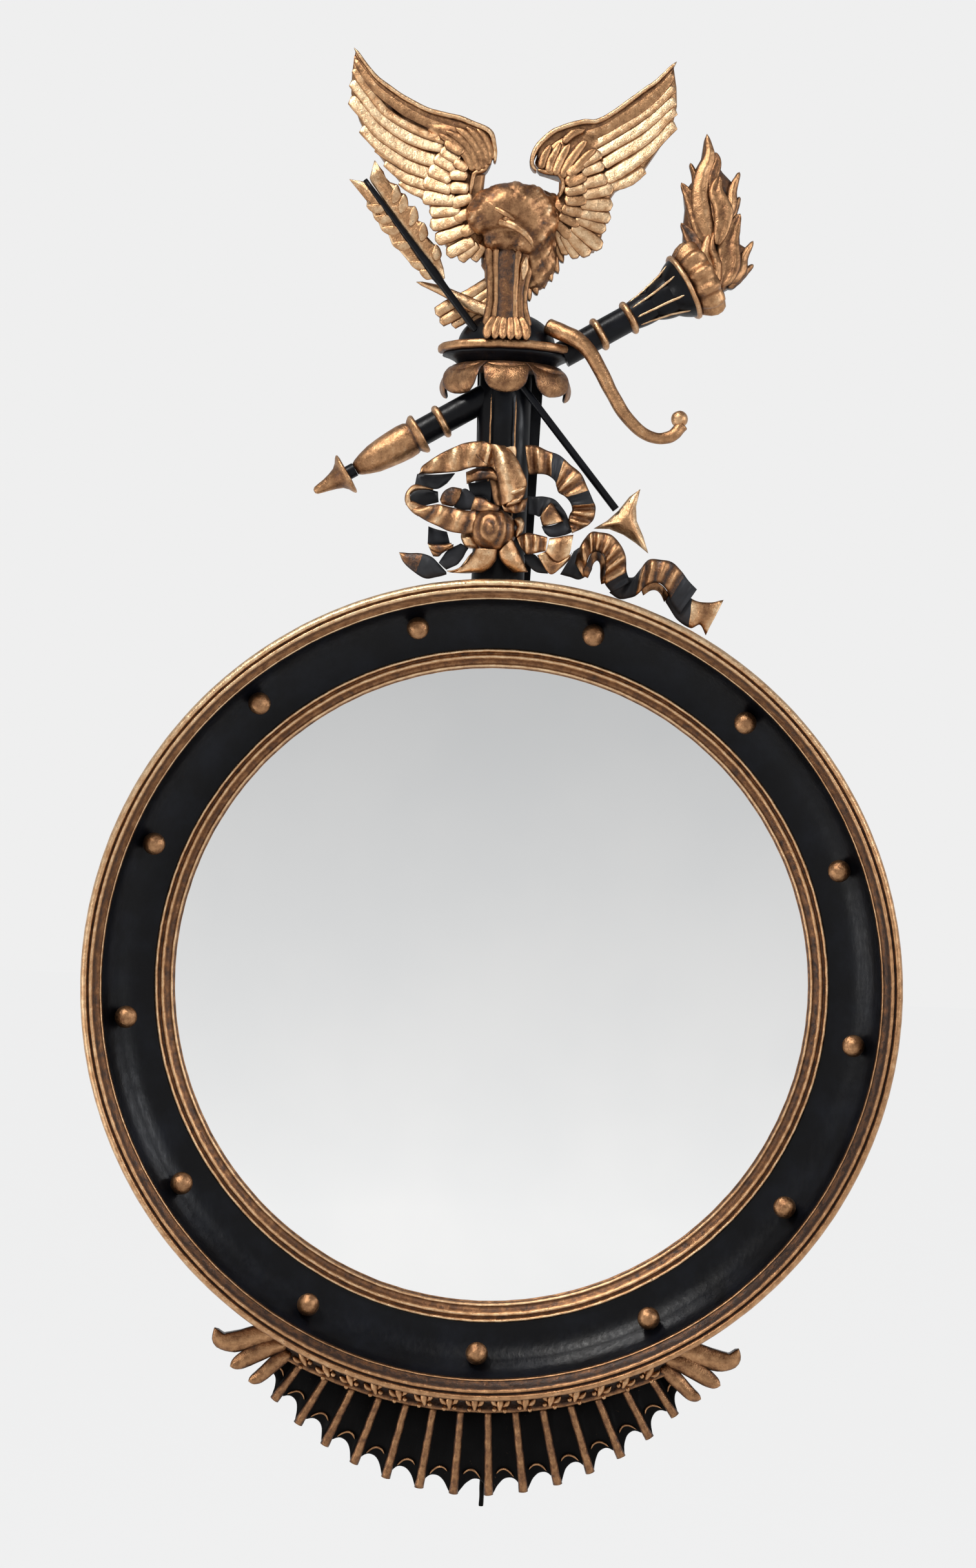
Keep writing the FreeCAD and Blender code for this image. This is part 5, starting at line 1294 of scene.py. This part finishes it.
# each fold of the ribbon: its two edges as (across, up), its depths from one end to the other, and its look
LOOP_FOLDS = [
    ([(-78, 433), (-76, 439), (-64, 448), (-52, 455), (-40, 460), (-27, 462), (-19, 460), (-10, 457)],
     [(-79, 432), (-67, 433), (-55, 434), (-43, 436), (-35, 439), (-25, 440), (-18, 440), (-13, 436)],
     [58, 66, 71, 74, 74],
     dict(pleats=5, fold=3.4, slant=0.55, belly=2.5, tone=0.66, stations=48, across=13)),
    ([(-34, 458), (-33, 453), (-27, 446), (-19, 441)], [(-26, 462), (-20, 458), (-16, 451), (-14, 442)],
     [73, 75, 77, 77], dict(fold=0, belly=-3.5, tone=0.18, across=11)),
    ([(-80, 432), (-67, 432), (-55, 433), (-48, 434)], [(-82, 423), (-73, 421), (-63, 420), (-55, 425)],
     [50, 55, 57, 57], dict(fold=1.2, pleats=1.5, belly=1, tone=0.3, finish=1)),
    ([(-66, 420), (-74, 422), (-82, 423), (-88, 418), (-90, 411), (-88, 405), (-83, 399), (-78, 396)],
     [(-67, 419), (-74, 419), (-81, 418), (-85, 415), (-85, 412), (-84, 409), (-80, 407), (-74, 405)],
     [60, 62, 65, 67, 68, 68, 68], dict(fold=0, belly=2.2, tone=0.5, stations=44)),
    ([(-85, 417), (-75, 420), (-62, 418)], [(-85, 407), (-75, 405), (-61, 409)], [53, 53, 54],
     dict(fold=0.8, tone=0.2, finish=1)),
    ([(-89, 406), (-83, 400), (-72, 393), (-60, 388), (-49, 384), (-38, 383), (-28, 385)],
     [(-83, 409), (-75, 406), (-67, 406), (-60, 407), (-50, 405), (-40, 403), (-29, 403)],
     [66, 69, 71, 72, 72, 72, 70],
     dict(pleats=4, fold=3.0, slant=-0.5, belly=2.5, tone=0.5, stations=48, across=13)),
    ([(-60, 411), (-58, 417), (-51, 422), (-42, 421)], [(-58, 407), (-53, 406), (-48, 406), (-44, 411)],
     [64, 67, 69, 67], dict(pleats=1, fold=1.5, belly=2, tone=0.22)),
    ([(-43, 420), (-38, 421), (-29, 414)], [(-48, 405), (-41, 403), (-33, 403)], [62, 62, 62],
     dict(fold=0.8, tone=0.2, finish=1)),
    ([(-31, 415), (-24, 414), (-17, 410), (-9, 407)], [(-34, 402), (-28, 402), (-19, 402), (-11, 402)],
     [64, 69, 72, 74], dict(pleats=1.5, fold=1.5, belly=2.5, tone=0.4)),
    ([(-39, 435), (-30, 439), (-18, 440), (-13, 436)], [(-38, 425), (-30, 428), (-20, 430), (-12, 429)],
     [62, 67, 70, 70], dict(pleats=1, fold=1.4, belly=4, tone=0.36)),
    ([(-37, 426), (-27, 427), (-17, 429)], [(-34, 414), (-24, 415), (-17, 410)], [58, 58, 60],
     dict(fold=1, tone=0.2, finish=1)),
    ([(-19, 430), (-17, 422), (-16, 415), (-13, 408)], [(-9, 430), (-9, 423), (-8, 415), (-7, 408)],
     [64, 66, 67, 68], dict(fold=0, belly=2, tone=0.12)),
    ([(10, 460), (19, 460), (29, 456), (39, 453), (49, 445), (58, 438), (64, 427), (69, 416), (72, 409),
      (70, 399), (64, 393), (53, 387)],
     [(14, 435), (21, 436), (30, 435), (36, 431), (38, 426), (40, 421), (45, 418), (50, 413), (52, 407),
      (50, 403), (49, 397), (52, 390)], [62, 66, 68, 69, 68, 66, 64, 62, 60, 60, 60, 60],
     dict(pleats=9, fold=3.4, belly=2.5, tone=0.5, stations=96, across=11, dark=((0.22, 0.315),
      (0.565, 0.665)))),
    ([(14, 417), (20, 417), (28, 417), (37, 415), (45, 407), (49, 399), (52, 390)],
     [(15, 402), (21, 401), (25, 400), (28, 406), (34, 410), (41, 402), (45, 394)],
     [60, 62, 63, 62, 60, 58, 57], dict(pleats=4, fold=2, belly=1.5, tone=0.3, finish=1, stations=40)),
    ([(28, 406), (34, 412), (39, 406), (45, 397)], [(25, 399), (26, 396), (27, 393), (28, 392)],
     [64, 66, 66, 64], dict(pleats=1, fold=1.2, belly=3, tone=0.62)),
    ([(27, 392), (35, 393), (45, 397), (48, 394)], [(30, 386), (35, 383), (46, 385), (53, 388)],
     [62, 63, 61, 58], dict(fold=0.8, belly=1.5, tone=0.3, finish=1)),
]

FRONT_FOLDS = [
    ([(-20, 460), (-17, 452), (-15, 442), (-13, 434), (-11, 425), (-9, 416), (-8, 408)],
     [(-7, 459), (0, 453), (5, 446), (9, 438), (12, 431), (13, 425), (10, 417)],
     [74, 78, 81, 82, 82, 80, 77],
     dict(pleats=0, fold=0, belly=5, thick=8, tone=0.72, flutes=1.5, groove=1.6, stations=44, across=21)),
    ([(-8, 423), (-6, 419), (-4, 413), (-4, 407)], [(12, 432), (12, 426), (12, 420), (8, 412)],
     [80, 82, 81, 77], dict(pleats=2.2, fold=3, belly=3, thick=7, tone=0.6, stations=32, across=13)),
    ([(-7, 457), (-4, 453), (0, 450)], [(2, 459), (3, 455), (3, 450)], [76, 75, 73],
     dict(fold=0, belly=1.5, tone=0.7)),
    ([(-8, 410), (2, 411), (14, 416)], [(-5, 403), (4, 402), (12, 404)], [74, 74, 70],
     dict(pleats=2.5, fold=2, belly=3, tone=0.45)),
]

KNOT_FOLDS = [
    ([(4, 398), (9, 399), (12, 394), (11, 387), (7, 382)],
     [(3, 396), (5, 392), (6, 390), (5, 386), (5, 382)], [66, 68, 69, 68, 66],
     dict(fold=0, belly=3, tone=0.62)),
    ([(-41, 384), (-41, 379), (-38, 373), (-34, 371)], [(-29, 384), (-28, 380), (-26, 375), (-23, 371)],
     [62, 66, 66, 62], dict(fold=0, belly=4, tone=0.6)),
]

PETAL_FOLDS = [
    ([(-48, 350), (-39, 356), (-32, 364), (-28, 371)], [(-32, 350), (-19, 352), (-11, 361), (-9, 371)],
     [58, 64, 68, 70], dict(fold=0, belly=5, tone=0.5, across=13)),
    ([(-9, 369), (-7, 363), (-2, 357), (4, 352)], [(2, 381), (7, 372), (12, 363), (17, 353)],
     [70, 69, 66, 60], dict(fold=0, belly=4.5, tone=0.5, across=13)),
]

LEFT_TAIL_FOLDS = [
    ([(-69, 388), (-62, 386), (-53, 384)], [(-69, 373), (-60, 372), (-50, 374)], [54, 55, 56],
     dict(pleats=1.5, fold=1, tone=0.2, finish=1)),
    ([(-69, 374), (-60, 373), (-49, 375)], [(-66, 368), (-58, 366), (-48, 372)], [60, 62, 62],
     dict(pleats=1, fold=1.2, belly=2.5, tone=0.5)),
    ([(-68, 371), (-62, 368), (-55, 371), (-47, 374)], [(-64, 363), (-59, 363), (-56, 366), (-47, 371)],
     [57, 60, 61, 61], dict(fold=1, pleats=1, belly=1.5, tone=0.15)),
    ([(-59, 358), (-52, 368), (-41, 375)], [(-52, 352), (-42, 358), (-34, 371)], [56, 57, 58],
     dict(fold=1, belly=1.5, tone=0.2, finish=1)),
    ([(-52, 351), (-42, 354), (-34, 364)], [(-48, 350), (-37, 355), (-29, 370)], [60, 62, 62],
     dict(fold=0, belly=1.5, tone=0.4)),
    ([(-93, 365), (-86, 365), (-76, 365), (-66, 363), (-59, 357), (-52, 350)],
     [(-93, 365), (-89, 357), (-81, 350), (-71, 344), (-62, 345), (-52, 348)], [48, 52, 55, 56, 55, 54],
     dict(pleats=1.5, fold=1.6, belly=2, tone=0.25, stations=40, dark=((0.46, 1.01),))),
]

RIGHT_TAIL_FOLDS = [
    ([(6, 382), (14, 386), (22, 385), (32, 383)], [(9, 374), (15, 368), (23, 369), (31, 371)],
     [66, 67, 68, 70], dict(pleats=3, fold=2.8, belly=2, tone=0.58, stations=40)),
    ([(34, 382), (44, 384), (54, 386)], [(31, 370), (41, 362), (51, 367)], [70, 72, 70],
     dict(fold=0.6, pleats=1, belly=3, tone=0.92, across=13)),
    ([(31, 371), (40, 363), (52, 369), (53, 371)], [(24, 367), (35, 352), (44, 357), (52, 365)],
     [69, 71, 69, 66], dict(fold=0.8, pleats=1.5, belly=2, tone=0.75)),
    ([(13, 367), (22, 368), (31, 358)], [(15, 359), (24, 353), (34, 352)], [58, 58, 57],
     dict(fold=1, tone=0.2, finish=1)),
    ([(55, 372), (61, 375), (65, 365), (71, 358)], [(44, 352), (52, 350), (60, 348), (69, 353)],
     [52, 53, 54, 54], dict(pleats=2, fold=1.5, tone=0.2, finish=1)),
    ([(56, 362), (60, 377), (68, 388), (76, 389), (86, 387), (94, 379), (99, 369), (100, 357), (104, 348)],
     [(64, 350), (66, 362), (70, 371), (74, 373), (79, 371), (82, 365), (82, 356), (82, 346), (88, 338)],
     [56, 62, 68, 70, 70, 68, 64, 58, 50],
     dict(pleats=8, fold=3.2, belly=3, tone=0.55, stations=80, dark=((0.88, 1.01),))),
    ([(98, 352), (106, 352), (112, 360), (118, 367), (127, 368), (138, 366), (146, 359), (153, 351),
      (160, 344)],
     [(86, 338), (96, 333), (108, 336), (116, 344), (124, 348), (130, 347), (136, 340), (140, 330),
      (146, 322)], [48, 48, 52, 58, 62, 62, 58, 52, 48],
     dict(pleats=7, fold=2.8, belly=2.5, tone=0.3, stations=64, dark=((0.0, 0.25), (0.8, 1.01)))),
    ([(136, 348), (148, 342), (158, 335), (170, 333), (183, 336)],
     [(134, 332), (144, 318), (156, 311), (164, 314), (169, 305)], [46, 46, 48, 48, 46],
     dict(pleats=2, fold=1.6, belly=2, tone=0.75, stations=40, dark=((0.0, 0.45),))),
    ([(62, 352), (66, 362), (70, 371), (74, 373), (79, 371), (82, 365), (82, 356), (82, 346)],
     [(68, 350), (70, 356), (72, 362), (75, 364.5), (77, 362), (77.5, 357), (78, 351), (79, 345)],
     [58, 62, 64, 64, 64, 63, 60, 55], dict(pleats=3, fold=0.8, belly=-1, tone=0.08)),
    ([(113, 342), (120, 347.5), (126, 348.5), (132, 345), (137, 338)],
     [(115, 337), (121, 341), (126, 341.5), (130, 338), (133, 332)], [54, 57, 58, 56, 50],
     dict(fold=0, belly=-1, tone=0.1)),
]


def folded(folds, carving=None):
    """A carving of the ribbon, gathered from its folds."""
    carving = carving or Carving()
    for edge_a, edge_b, depths, look in folds:
        drape(carving, edge_a, edge_b, depths, **look)
    return carving


def ribbon():
    """Loops, the wide fold that hangs over them, the knot that it runs into, petals and tails."""
    both = [GILT, EBONY_RIBBON]
    loops = ["ribbon_left_loop", "ribbon_right_loop", "ribbon_inner_loop"]
    folded(LOOP_FOLDS).piece("ribbon_loops", both, nodes=loops, slot="gilt_carving")
    folded(FRONT_FOLDS).piece("ribbon_front_drape", [GILT], nodes=["ribbon_front_fold"], slot="gilt_carving")
    knot = Carving()
    x, z, wide, tall = KNOT
    swirled_ball(knot, (x, 64, z), (wide, 20, tall), 0.3)
    folded(KNOT_FOLDS, knot).piece("ribbon_knot_folds", [GILT], nodes=["ribbon_knot"], slot="gilt_carving")
    petals = ["ribbon_left_petal", "ribbon_right_petal"]
    folded(PETAL_FOLDS).piece("ribbon_petals", [GILT], nodes=petals, slot="gilt_carving")
    folded(LEFT_TAIL_FOLDS).piece("ribbon_left_end", both, nodes=["ribbon_left_tail"], slot="gilt_carving")
    folded(RIGHT_TAIL_FOLDS).piece("ribbon_right_end", both, nodes=["ribbon_right_tail"], slot="gilt_carving")


# ---------------------------------------------------------------- apron

# the ribs fan out from one centre; their feet lie on a flatter arc about another
FAN_CENTRE = -115.0
FAN_FOOT_CENTRE = -199.0
FAN_FOOT_RADIUS = 234.0
FAN_TOP_RADIUS = 362.0
FAN_SPREAD = 35.0
RIB_COUNT = 14
DROP_COUNT = 15
DROP_RADIUS = 354.0
DROP_DEPTH = 39.2
ARCH_RISE = 12.5
PANEL_TOP_RADIUS = 336
PANEL_FRONT = 35.6
PANEL_BACK = 20.4
RIB_PLANE = 36.2


def fan_lines(count, first=0.0):
    """The fan's lines as (turn, place at its top, place on its lower edge), each place (across, up)."""
    drop = FAN_CENTRE - FAN_FOOT_CENTRE
    for number in range(count):
        turn = math.radians(-FAN_SPREAD + 2 * FAN_SPREAD * (number + first) / (RIB_COUNT - 1))
        sine, cosine = math.sin(turn), math.cos(turn)
        top = FAN_CENTRE * cosine + math.sqrt(FAN_TOP_RADIUS**2 - (FAN_CENTRE * sine) ** 2)
        foot = drop * cosine + math.sqrt(FAN_FOOT_RADIUS**2 - (drop * sine) ** 2)
        yield turn, (sine * top, FAN_CENTRE - cosine * top), (sine * foot, FAN_CENTRE - cosine * foot)


def slab(carving, edge, inner, front, back, relief=0.5, tone=0.4):
    """A panel between a worked lower edge and the ring, in strips so that its faces stay clean."""
    strips = len(edge)
    upper = np.array(inner[::-1])
    places = np.linspace(0, len(upper) - 1, strips)
    upper = np.stack([np.interp(places, np.arange(len(upper)), upper[:, axis]) for axis in (0, 1)], axis=1)
    lower = np.array(edge)
    arris = lower + (upper - lower) / np.linalg.norm(upper - lower, axis=1)[:, None] * 1.2
    rings = []
    for number in range(strips):
        low, near, high = lower[number], arris[number], upper[number]
        rings.append([(low[0], back, low[1]), (low[0], front - 1.2, low[1]), (near[0], front, near[1]),
                      (high[0], front, high[1]), (high[0], back, high[1])])
    carving.add(np.array(rings).reshape(-1, 3), tube_faces(strips, 5), relief, tone)


def arch_line(count=14):
    """The panel's lower edge: one arch in each bay, steeper on the side away from the middle."""
    edge = []
    feet = [line[2] for line in fan_lines(RIB_COUNT + 2, -1)]
    for low, high in zip(feet, feet[1:]):
        low, high = np.array(low), np.array(high)
        side = 1 if low[0] + high[0] < 0 else -1
        rise_way = np.array([-(high - low)[1], (high - low)[0]])
        rise_way /= np.linalg.norm(rise_way)
        for share in np.linspace(0.13, 0.87, count):
            skew = share**0.72 if side > 0 else 1 - (1 - share)**0.72
            lift = ARCH_RISE * max(0.0, 1 - abs(2 * (skew - 0.5) / 0.80) ** 2.3)
            edge.append(tuple(low + (high - low) * share + rise_way * lift))
    return edge


def apron():
    panel = Carving()
    edge = arch_line()
    turn_start = math.atan2(edge[0][0], -edge[0][1])
    turn_stop = math.atan2(edge[-1][0], -edge[-1][1])
    inner = [(PANEL_TOP_RADIUS * math.sin(turn),
        -PANEL_TOP_RADIUS * math.cos(turn)) for turn in np.linspace(turn_stop, turn_start, 60)]
    slab(panel, edge, inner, PANEL_FRONT, PANEL_BACK)
    panel.piece("apron_panel_arched", [EBONY_APRON], nodes=["apron_panel"], slot="ebonised_wood")
    peg = Carving()
    rod(peg, [(9, 28, -444.8, 1.5), (9, 28, -443.5, 2.0), (9, 28, -430, 2.0), (9, 28, -404, 2.0)], tone=0.3,
        plane=28, count=24)
    peg.piece("apron_peg_whittled", [EBONY_APRON], nodes=["apron_peg"], slot="ebonised_wood")
    ribs = Carving()
    for turn, top, foot in fan_lines(RIB_COUNT):
        middle = tuple((np.array(top) + foot) / 2)
        blade(ribs, graded([top, middle, foot], RIB_PLANE, RIB_PLANE), [6.4, 7.0, 8.0], crown=3.4, back=2.5,
            tone=0.0, tip=0, root=0, plane=RIB_PLANE)
    ribs.piece("apron_fan_ribs", [GILT], nodes=["apron_ribs"], slot="gilt_carving")
    arcs = Carving()
    for turn, top, foot in fan_lines(RIB_COUNT + 1, -0.5):
        side = -1 if turn < 0 else 1
        sine, cosine = math.sin(turn), math.cos(turn)
        line = []
        for step in np.linspace(-1, 1, 9):
            out = 7.5 * step
            rise = 21 - 5.5 * step**2 - 1.8 * step * side
            line.append((foot[0] + out * cosine - rise * sine, foot[1] + out * sine + rise * cosine))
        blade(arcs, graded(line, RIB_PLANE, RIB_PLANE), [1.4, 2.2, 1.4], crown=1.2, back=1.4, tone=0.2,
            stations=14, plane=RIB_PLANE)
    arcs.piece("apron_gilt_arcs", [GILT], slot="gilt_carving")
    apron_border()


def apron_border():
    """A hollow band under the ring, with a row of foliate drops."""
    band = Carving()
    steps = 72
    profile = [(343, 36.5, 0.2), (346, 38, 0.3), (349, 38.4, 0.25), (352, 38, 0.1), (355, 38.6, 0.2),
        (358, 40.5, 0.4), (360.5, 42, 0.9), (362, 41, 0.9), (362.5, 37, 0.3), (362.5, 34, 0.2),
        (343, 34, 0.2)]
    rings = []
    for turn in np.radians(np.linspace(-27.5, 27.5, steps)):
        rings.append([(radius * math.sin(turn), depth, -radius * math.cos(turn)) for radius, depth,
            relief in profile])
    relief = np.tile([relief for radius, depth, relief in profile], steps)
    band.add(np.array(rings).reshape(-1, 3), tube_faces(steps, len(profile)), relief, 0.05)
    band.piece("apron_hollow_band", [GILT_RIM], nodes=["apron_border"], slot="gilt_carving")
    drop = Carving()
    blade(drop, [(0, 0, 8), (0, 0.6, 0), (0, 0, -8)], [4.5, 7, 5], crown=3.6, back=2, tone=0.4, tip=0.4,
        root=0.3, plane=0.0, stations=10, across=7, place=False)
    for turn in (-1, 1):
        blade(drop, [(turn * 2, 0, -3), (turn * 5.5, 0.4, 0), (turn * 7.5, 0, 5)], [3.5, 5.5, 4], crown=2.6,
            back=2, tone=0.35, tip=0.4, root=0.3, stations=10, across=7, place=False)
    for x, z, r in ((0, 7.5, 2.6), (-4.4, -5.5, 2.2), (4.4, -5.5, 2.2)):
        ball = [(r * math.sin(step), r * math.cos(step), 0.9) for step in np.linspace(0, math.pi, 8)]
        turned(drop, ball, 12, Matrix.Translation((x, 2.2, z)), tone=0.45)
    places = []
    for turn in np.radians(np.linspace(-24.6, 24.6, DROP_COUNT)):
        places.append((DROP_RADIUS * math.sin(turn), DROP_DEPTH, -DROP_RADIUS * math.cos(turn), (0, turn, 0)))
    set_out("apron_foliate_drops", drop, places, GILT)


# the left leaf end's lobes: line, widths and brightness; the right one is its mirror
LEAF_LOBES = [
    ([(-164, -301), (-185, -304), (-205, -310), (-218, -309), (-223.5, -299)], (12, 18, 18, 14, 5), 0.24),
    ([(-161, -309), (-181, -316), (-199, -326), (-209, -331)], (12, 16, 14, 7), 0.16),
    ([(-158, -317), (-171, -327), (-184, -339), (-193, -343)], (10, 13, 11, 6), 0.12),
]


def apron_leaves():
    """The pair of leaf ends under the ring."""
    for side in ("left", "right"):
        leaf = Carving()
        for line, widths, tone in LEAF_LOBES:
            line = line if side == "left" else [(-x - 1, z) for x, z in line]
            blade(leaf, graded(line, 38, 46), widths, crown=3.5, back=12, tone=tone, tip=0.18, root=0.05,
                rib=1.4, plane=40)
        leaf.piece("apron_leaf_" + side, [GILT], nodes=["apron_" + side + "_leaf"], slot="gilt_carving")


finish_cad_nodes()
gilt_rim()
gilt_slip()
glass()
gilt_balls()
wing("left_wing_feathers", "left_wing", LEFT_BOARD, LEFT_SHOULDER, LEFT_PRIMARIES, LEFT_COVERTS, LEFT_SMALL,
    LEFT_FLUTES, LEFT_EDGE, LEFT_GUTTER, LEFT_RIDGE, LEFT_INNER, -1)
wing("right_wing_feathers", "right_wing", RIGHT_BOARD, RIGHT_SHOULDER, RIGHT_PRIMARIES, RIGHT_COVERTS,
    RIGHT_SMALL, RIGHT_FLUTES, RIGHT_EDGE, RIGHT_GUTTER, RIGHT_RIDGE, RIGHT_INNER, 1)
eagle_body()
eagle_details()
eagle_tail()
bow()
arrow()
torch()
flame()
crest()
ribbon()
apron()
apron_leaves()

# ---------------------------------------------------------------- stage

BACKGROUND = (0.863, 0.863, 0.863)
FLOOR_GLOW = (0.893, 0.893, 0.893)
FLOOR_PALE = (0.86, 0.86, 0.86)
FLOOR_DARK = (0.84, 0.84, 0.84)
# the room that is seen in reflections, from below to above
ROOM = [(0.0, (0.92, 0.92, 0.92)), (0.25, (0.92, 0.92, 0.92)), (0.72, (0.545, 0.55, 0.555)),
    (1.0, (0.30, 0.31, 0.33))]
PLAIN_LIGHT = (0.95, 0.97, 1.0)
PLAIN_STRENGTH = 0.62
FLOOR_HALF = 14.0
FLOOR_LEVEL = -1.25

# each lamp: its place, its aim, its width, its watts and its colour
LAMPS = {
    "key": ((-1.1, -1.5, 2.6), (0, 0, 0.25), 0.9, 62, (1.0, 0.98, 0.95)),
    "side": ((2.4, -1.3, 0.9), (0, 0, 0.2), 0.8, 22, (0.95, 0.97, 1.0)),
    "low": ((-2.2, -0.9, -0.5), (0, 0, 0.1), 0.8, 10, (1, 1, 1)),
}


def stage_floor():
    """A plain pale floor well below the frame, which keeps a soft shadow.
    In a reflection it carries on the room's own gradient, by its direction from the frame."""
    skin = Finish("pale_floor")
    grain = skin.noise(6, 2, 0.5)
    colour = skin.mix(skin.between(grain, 0.3, 0.7), FLOOR_PALE, FLOOR_DARK)
    skin.finish(Base_Color=colour, Roughness=0.9)
    heading = skin.node("ShaderNodeVectorMath", {"operation": "NORMALIZE"}, _0=skin.place())
    axes = skin.node("ShaderNodeSeparateXYZ", _0=heading.outputs[0])
    height = skin.maths("MULTIPLY_ADD", axes.outputs[2])
    light = skin.node("ShaderNodeLightPath")
    reflected = skin.ramp(height, ROOM)
    tint = skin.mix(light.outputs["Is Glossy Ray"], FLOOR_GLOW, reflected)
    glow = skin.node("ShaderNodeEmission", Color=tint)
    seen_share = skin.maths("MULTIPLY", light.outputs["Is Camera Ray"], 0.9)
    seen_share = skin.maths("MAXIMUM", seen_share, light.outputs["Is Glossy Ray"])
    blend = skin.node("ShaderNodeMixShader", Fac=seen_share)
    skin.feed(blend.inputs[1], skin.shader.outputs[0])
    skin.feed(blend.inputs[2], glow.outputs[0])
    skin.tree.links.new(blend.outputs[0], skin.tree.nodes["Material Output"].inputs["Surface"])
    mesh = bpy.data.meshes.new("floor")
    corners = [(x * FLOOR_HALF, y * FLOOR_HALF, FLOOR_LEVEL) for x, y in ((-1, -1), (1, -1), (1, 1), (-1, 1))]
    mesh.from_pydata(corners, [], [(0, 1, 2, 3)])
    mesh.materials.append(skin.material)
    floor = bpy.data.objects.new("floor", mesh)
    bpy.context.scene.collection.objects.link(floor)


def set_world():
    """Pale for the camera; for reflections a room that darkens upwards; plain light for everything else."""
    world = bpy.data.worlds.new("studio")
    bpy.context.scene.world = world
    world.use_nodes = True
    tree = world.node_tree
    tree.nodes.clear()
    nodes = {
        "place": ("ShaderNodeTexCoord", {}),
        "axes": ("ShaderNodeSeparateXYZ", {}),
        "level": ("ShaderNodeMapRange", {"From Min": -1}),
        "band": ("ShaderNodeValToRGB", {}),
        "path": ("ShaderNodeLightPath", {}),
        "backdrop": ("ShaderNodeBackground", {"Color": (*BACKGROUND, 1), "Strength": 1.0}),
        "room": ("ShaderNodeBackground", {"Strength": 1.0}),
        "plain": ("ShaderNodeBackground", {"Color": (*PLAIN_LIGHT, 1), "Strength": PLAIN_STRENGTH}),
        "glossy": ("ShaderNodeMixShader", {}),
        "camera": ("ShaderNodeMixShader", {}),
        "out": ("ShaderNodeOutputWorld", {}),
    }
    links = ["place.Generated > axes.0", "axes.Z > level.Value", "level.0 > band.Fac",
        "band.Color > room.Color", "path.Is Glossy Ray > glossy.0", "plain.0 > glossy.1",
        "room.0 > glossy.2", "path.Is Camera Ray > camera.0", "glossy.0 > camera.1", "backdrop.0 > camera.2",
        "camera.0 > out.Surface",]
    colour_band(wired(tree, nodes, links)["band"].color_ramp, ROOM)


def lamp(name, place, aim, size, power, colour):
    data = bpy.data.lights.new(name, "AREA")
    data.shape = "DISK"
    data.size = size
    data.energy = power
    data.color = colour
    light = bpy.data.objects.new(name, data)
    light.location = place
    light.rotation_euler = (Vector(aim) - Vector(place)).to_track_quat("-Z", "Y").to_euler()
    bpy.context.scene.collection.objects.link(light)


def set_camera():
    data = bpy.data.cameras.new("camera")
    data.sensor_width = SENSOR_WIDTH
    data.lens = data.sensor_width * FOCAL_PIXELS / PHOTO_HEIGHT
    camera = bpy.data.objects.new("camera", data)
    roll = Matrix.Rotation(math.radians(VIEW_ROLL), 4, "Z")
    place = Matrix.Translation((VIEW_ACROSS * MM, -VIEW_AWAY * MM, VIEW_UP * MM))
    camera.matrix_world = place @ Matrix.Rotation(math.radians(90), 4, "X") @ roll
    bpy.context.scene.collection.objects.link(camera)
    bpy.context.scene.camera = camera


stage_floor()
set_world()
for name, setting in LAMPS.items():
    lamp(name, *setting)
set_camera()
bpy.context.scene.view_settings.view_transform = "Standard"
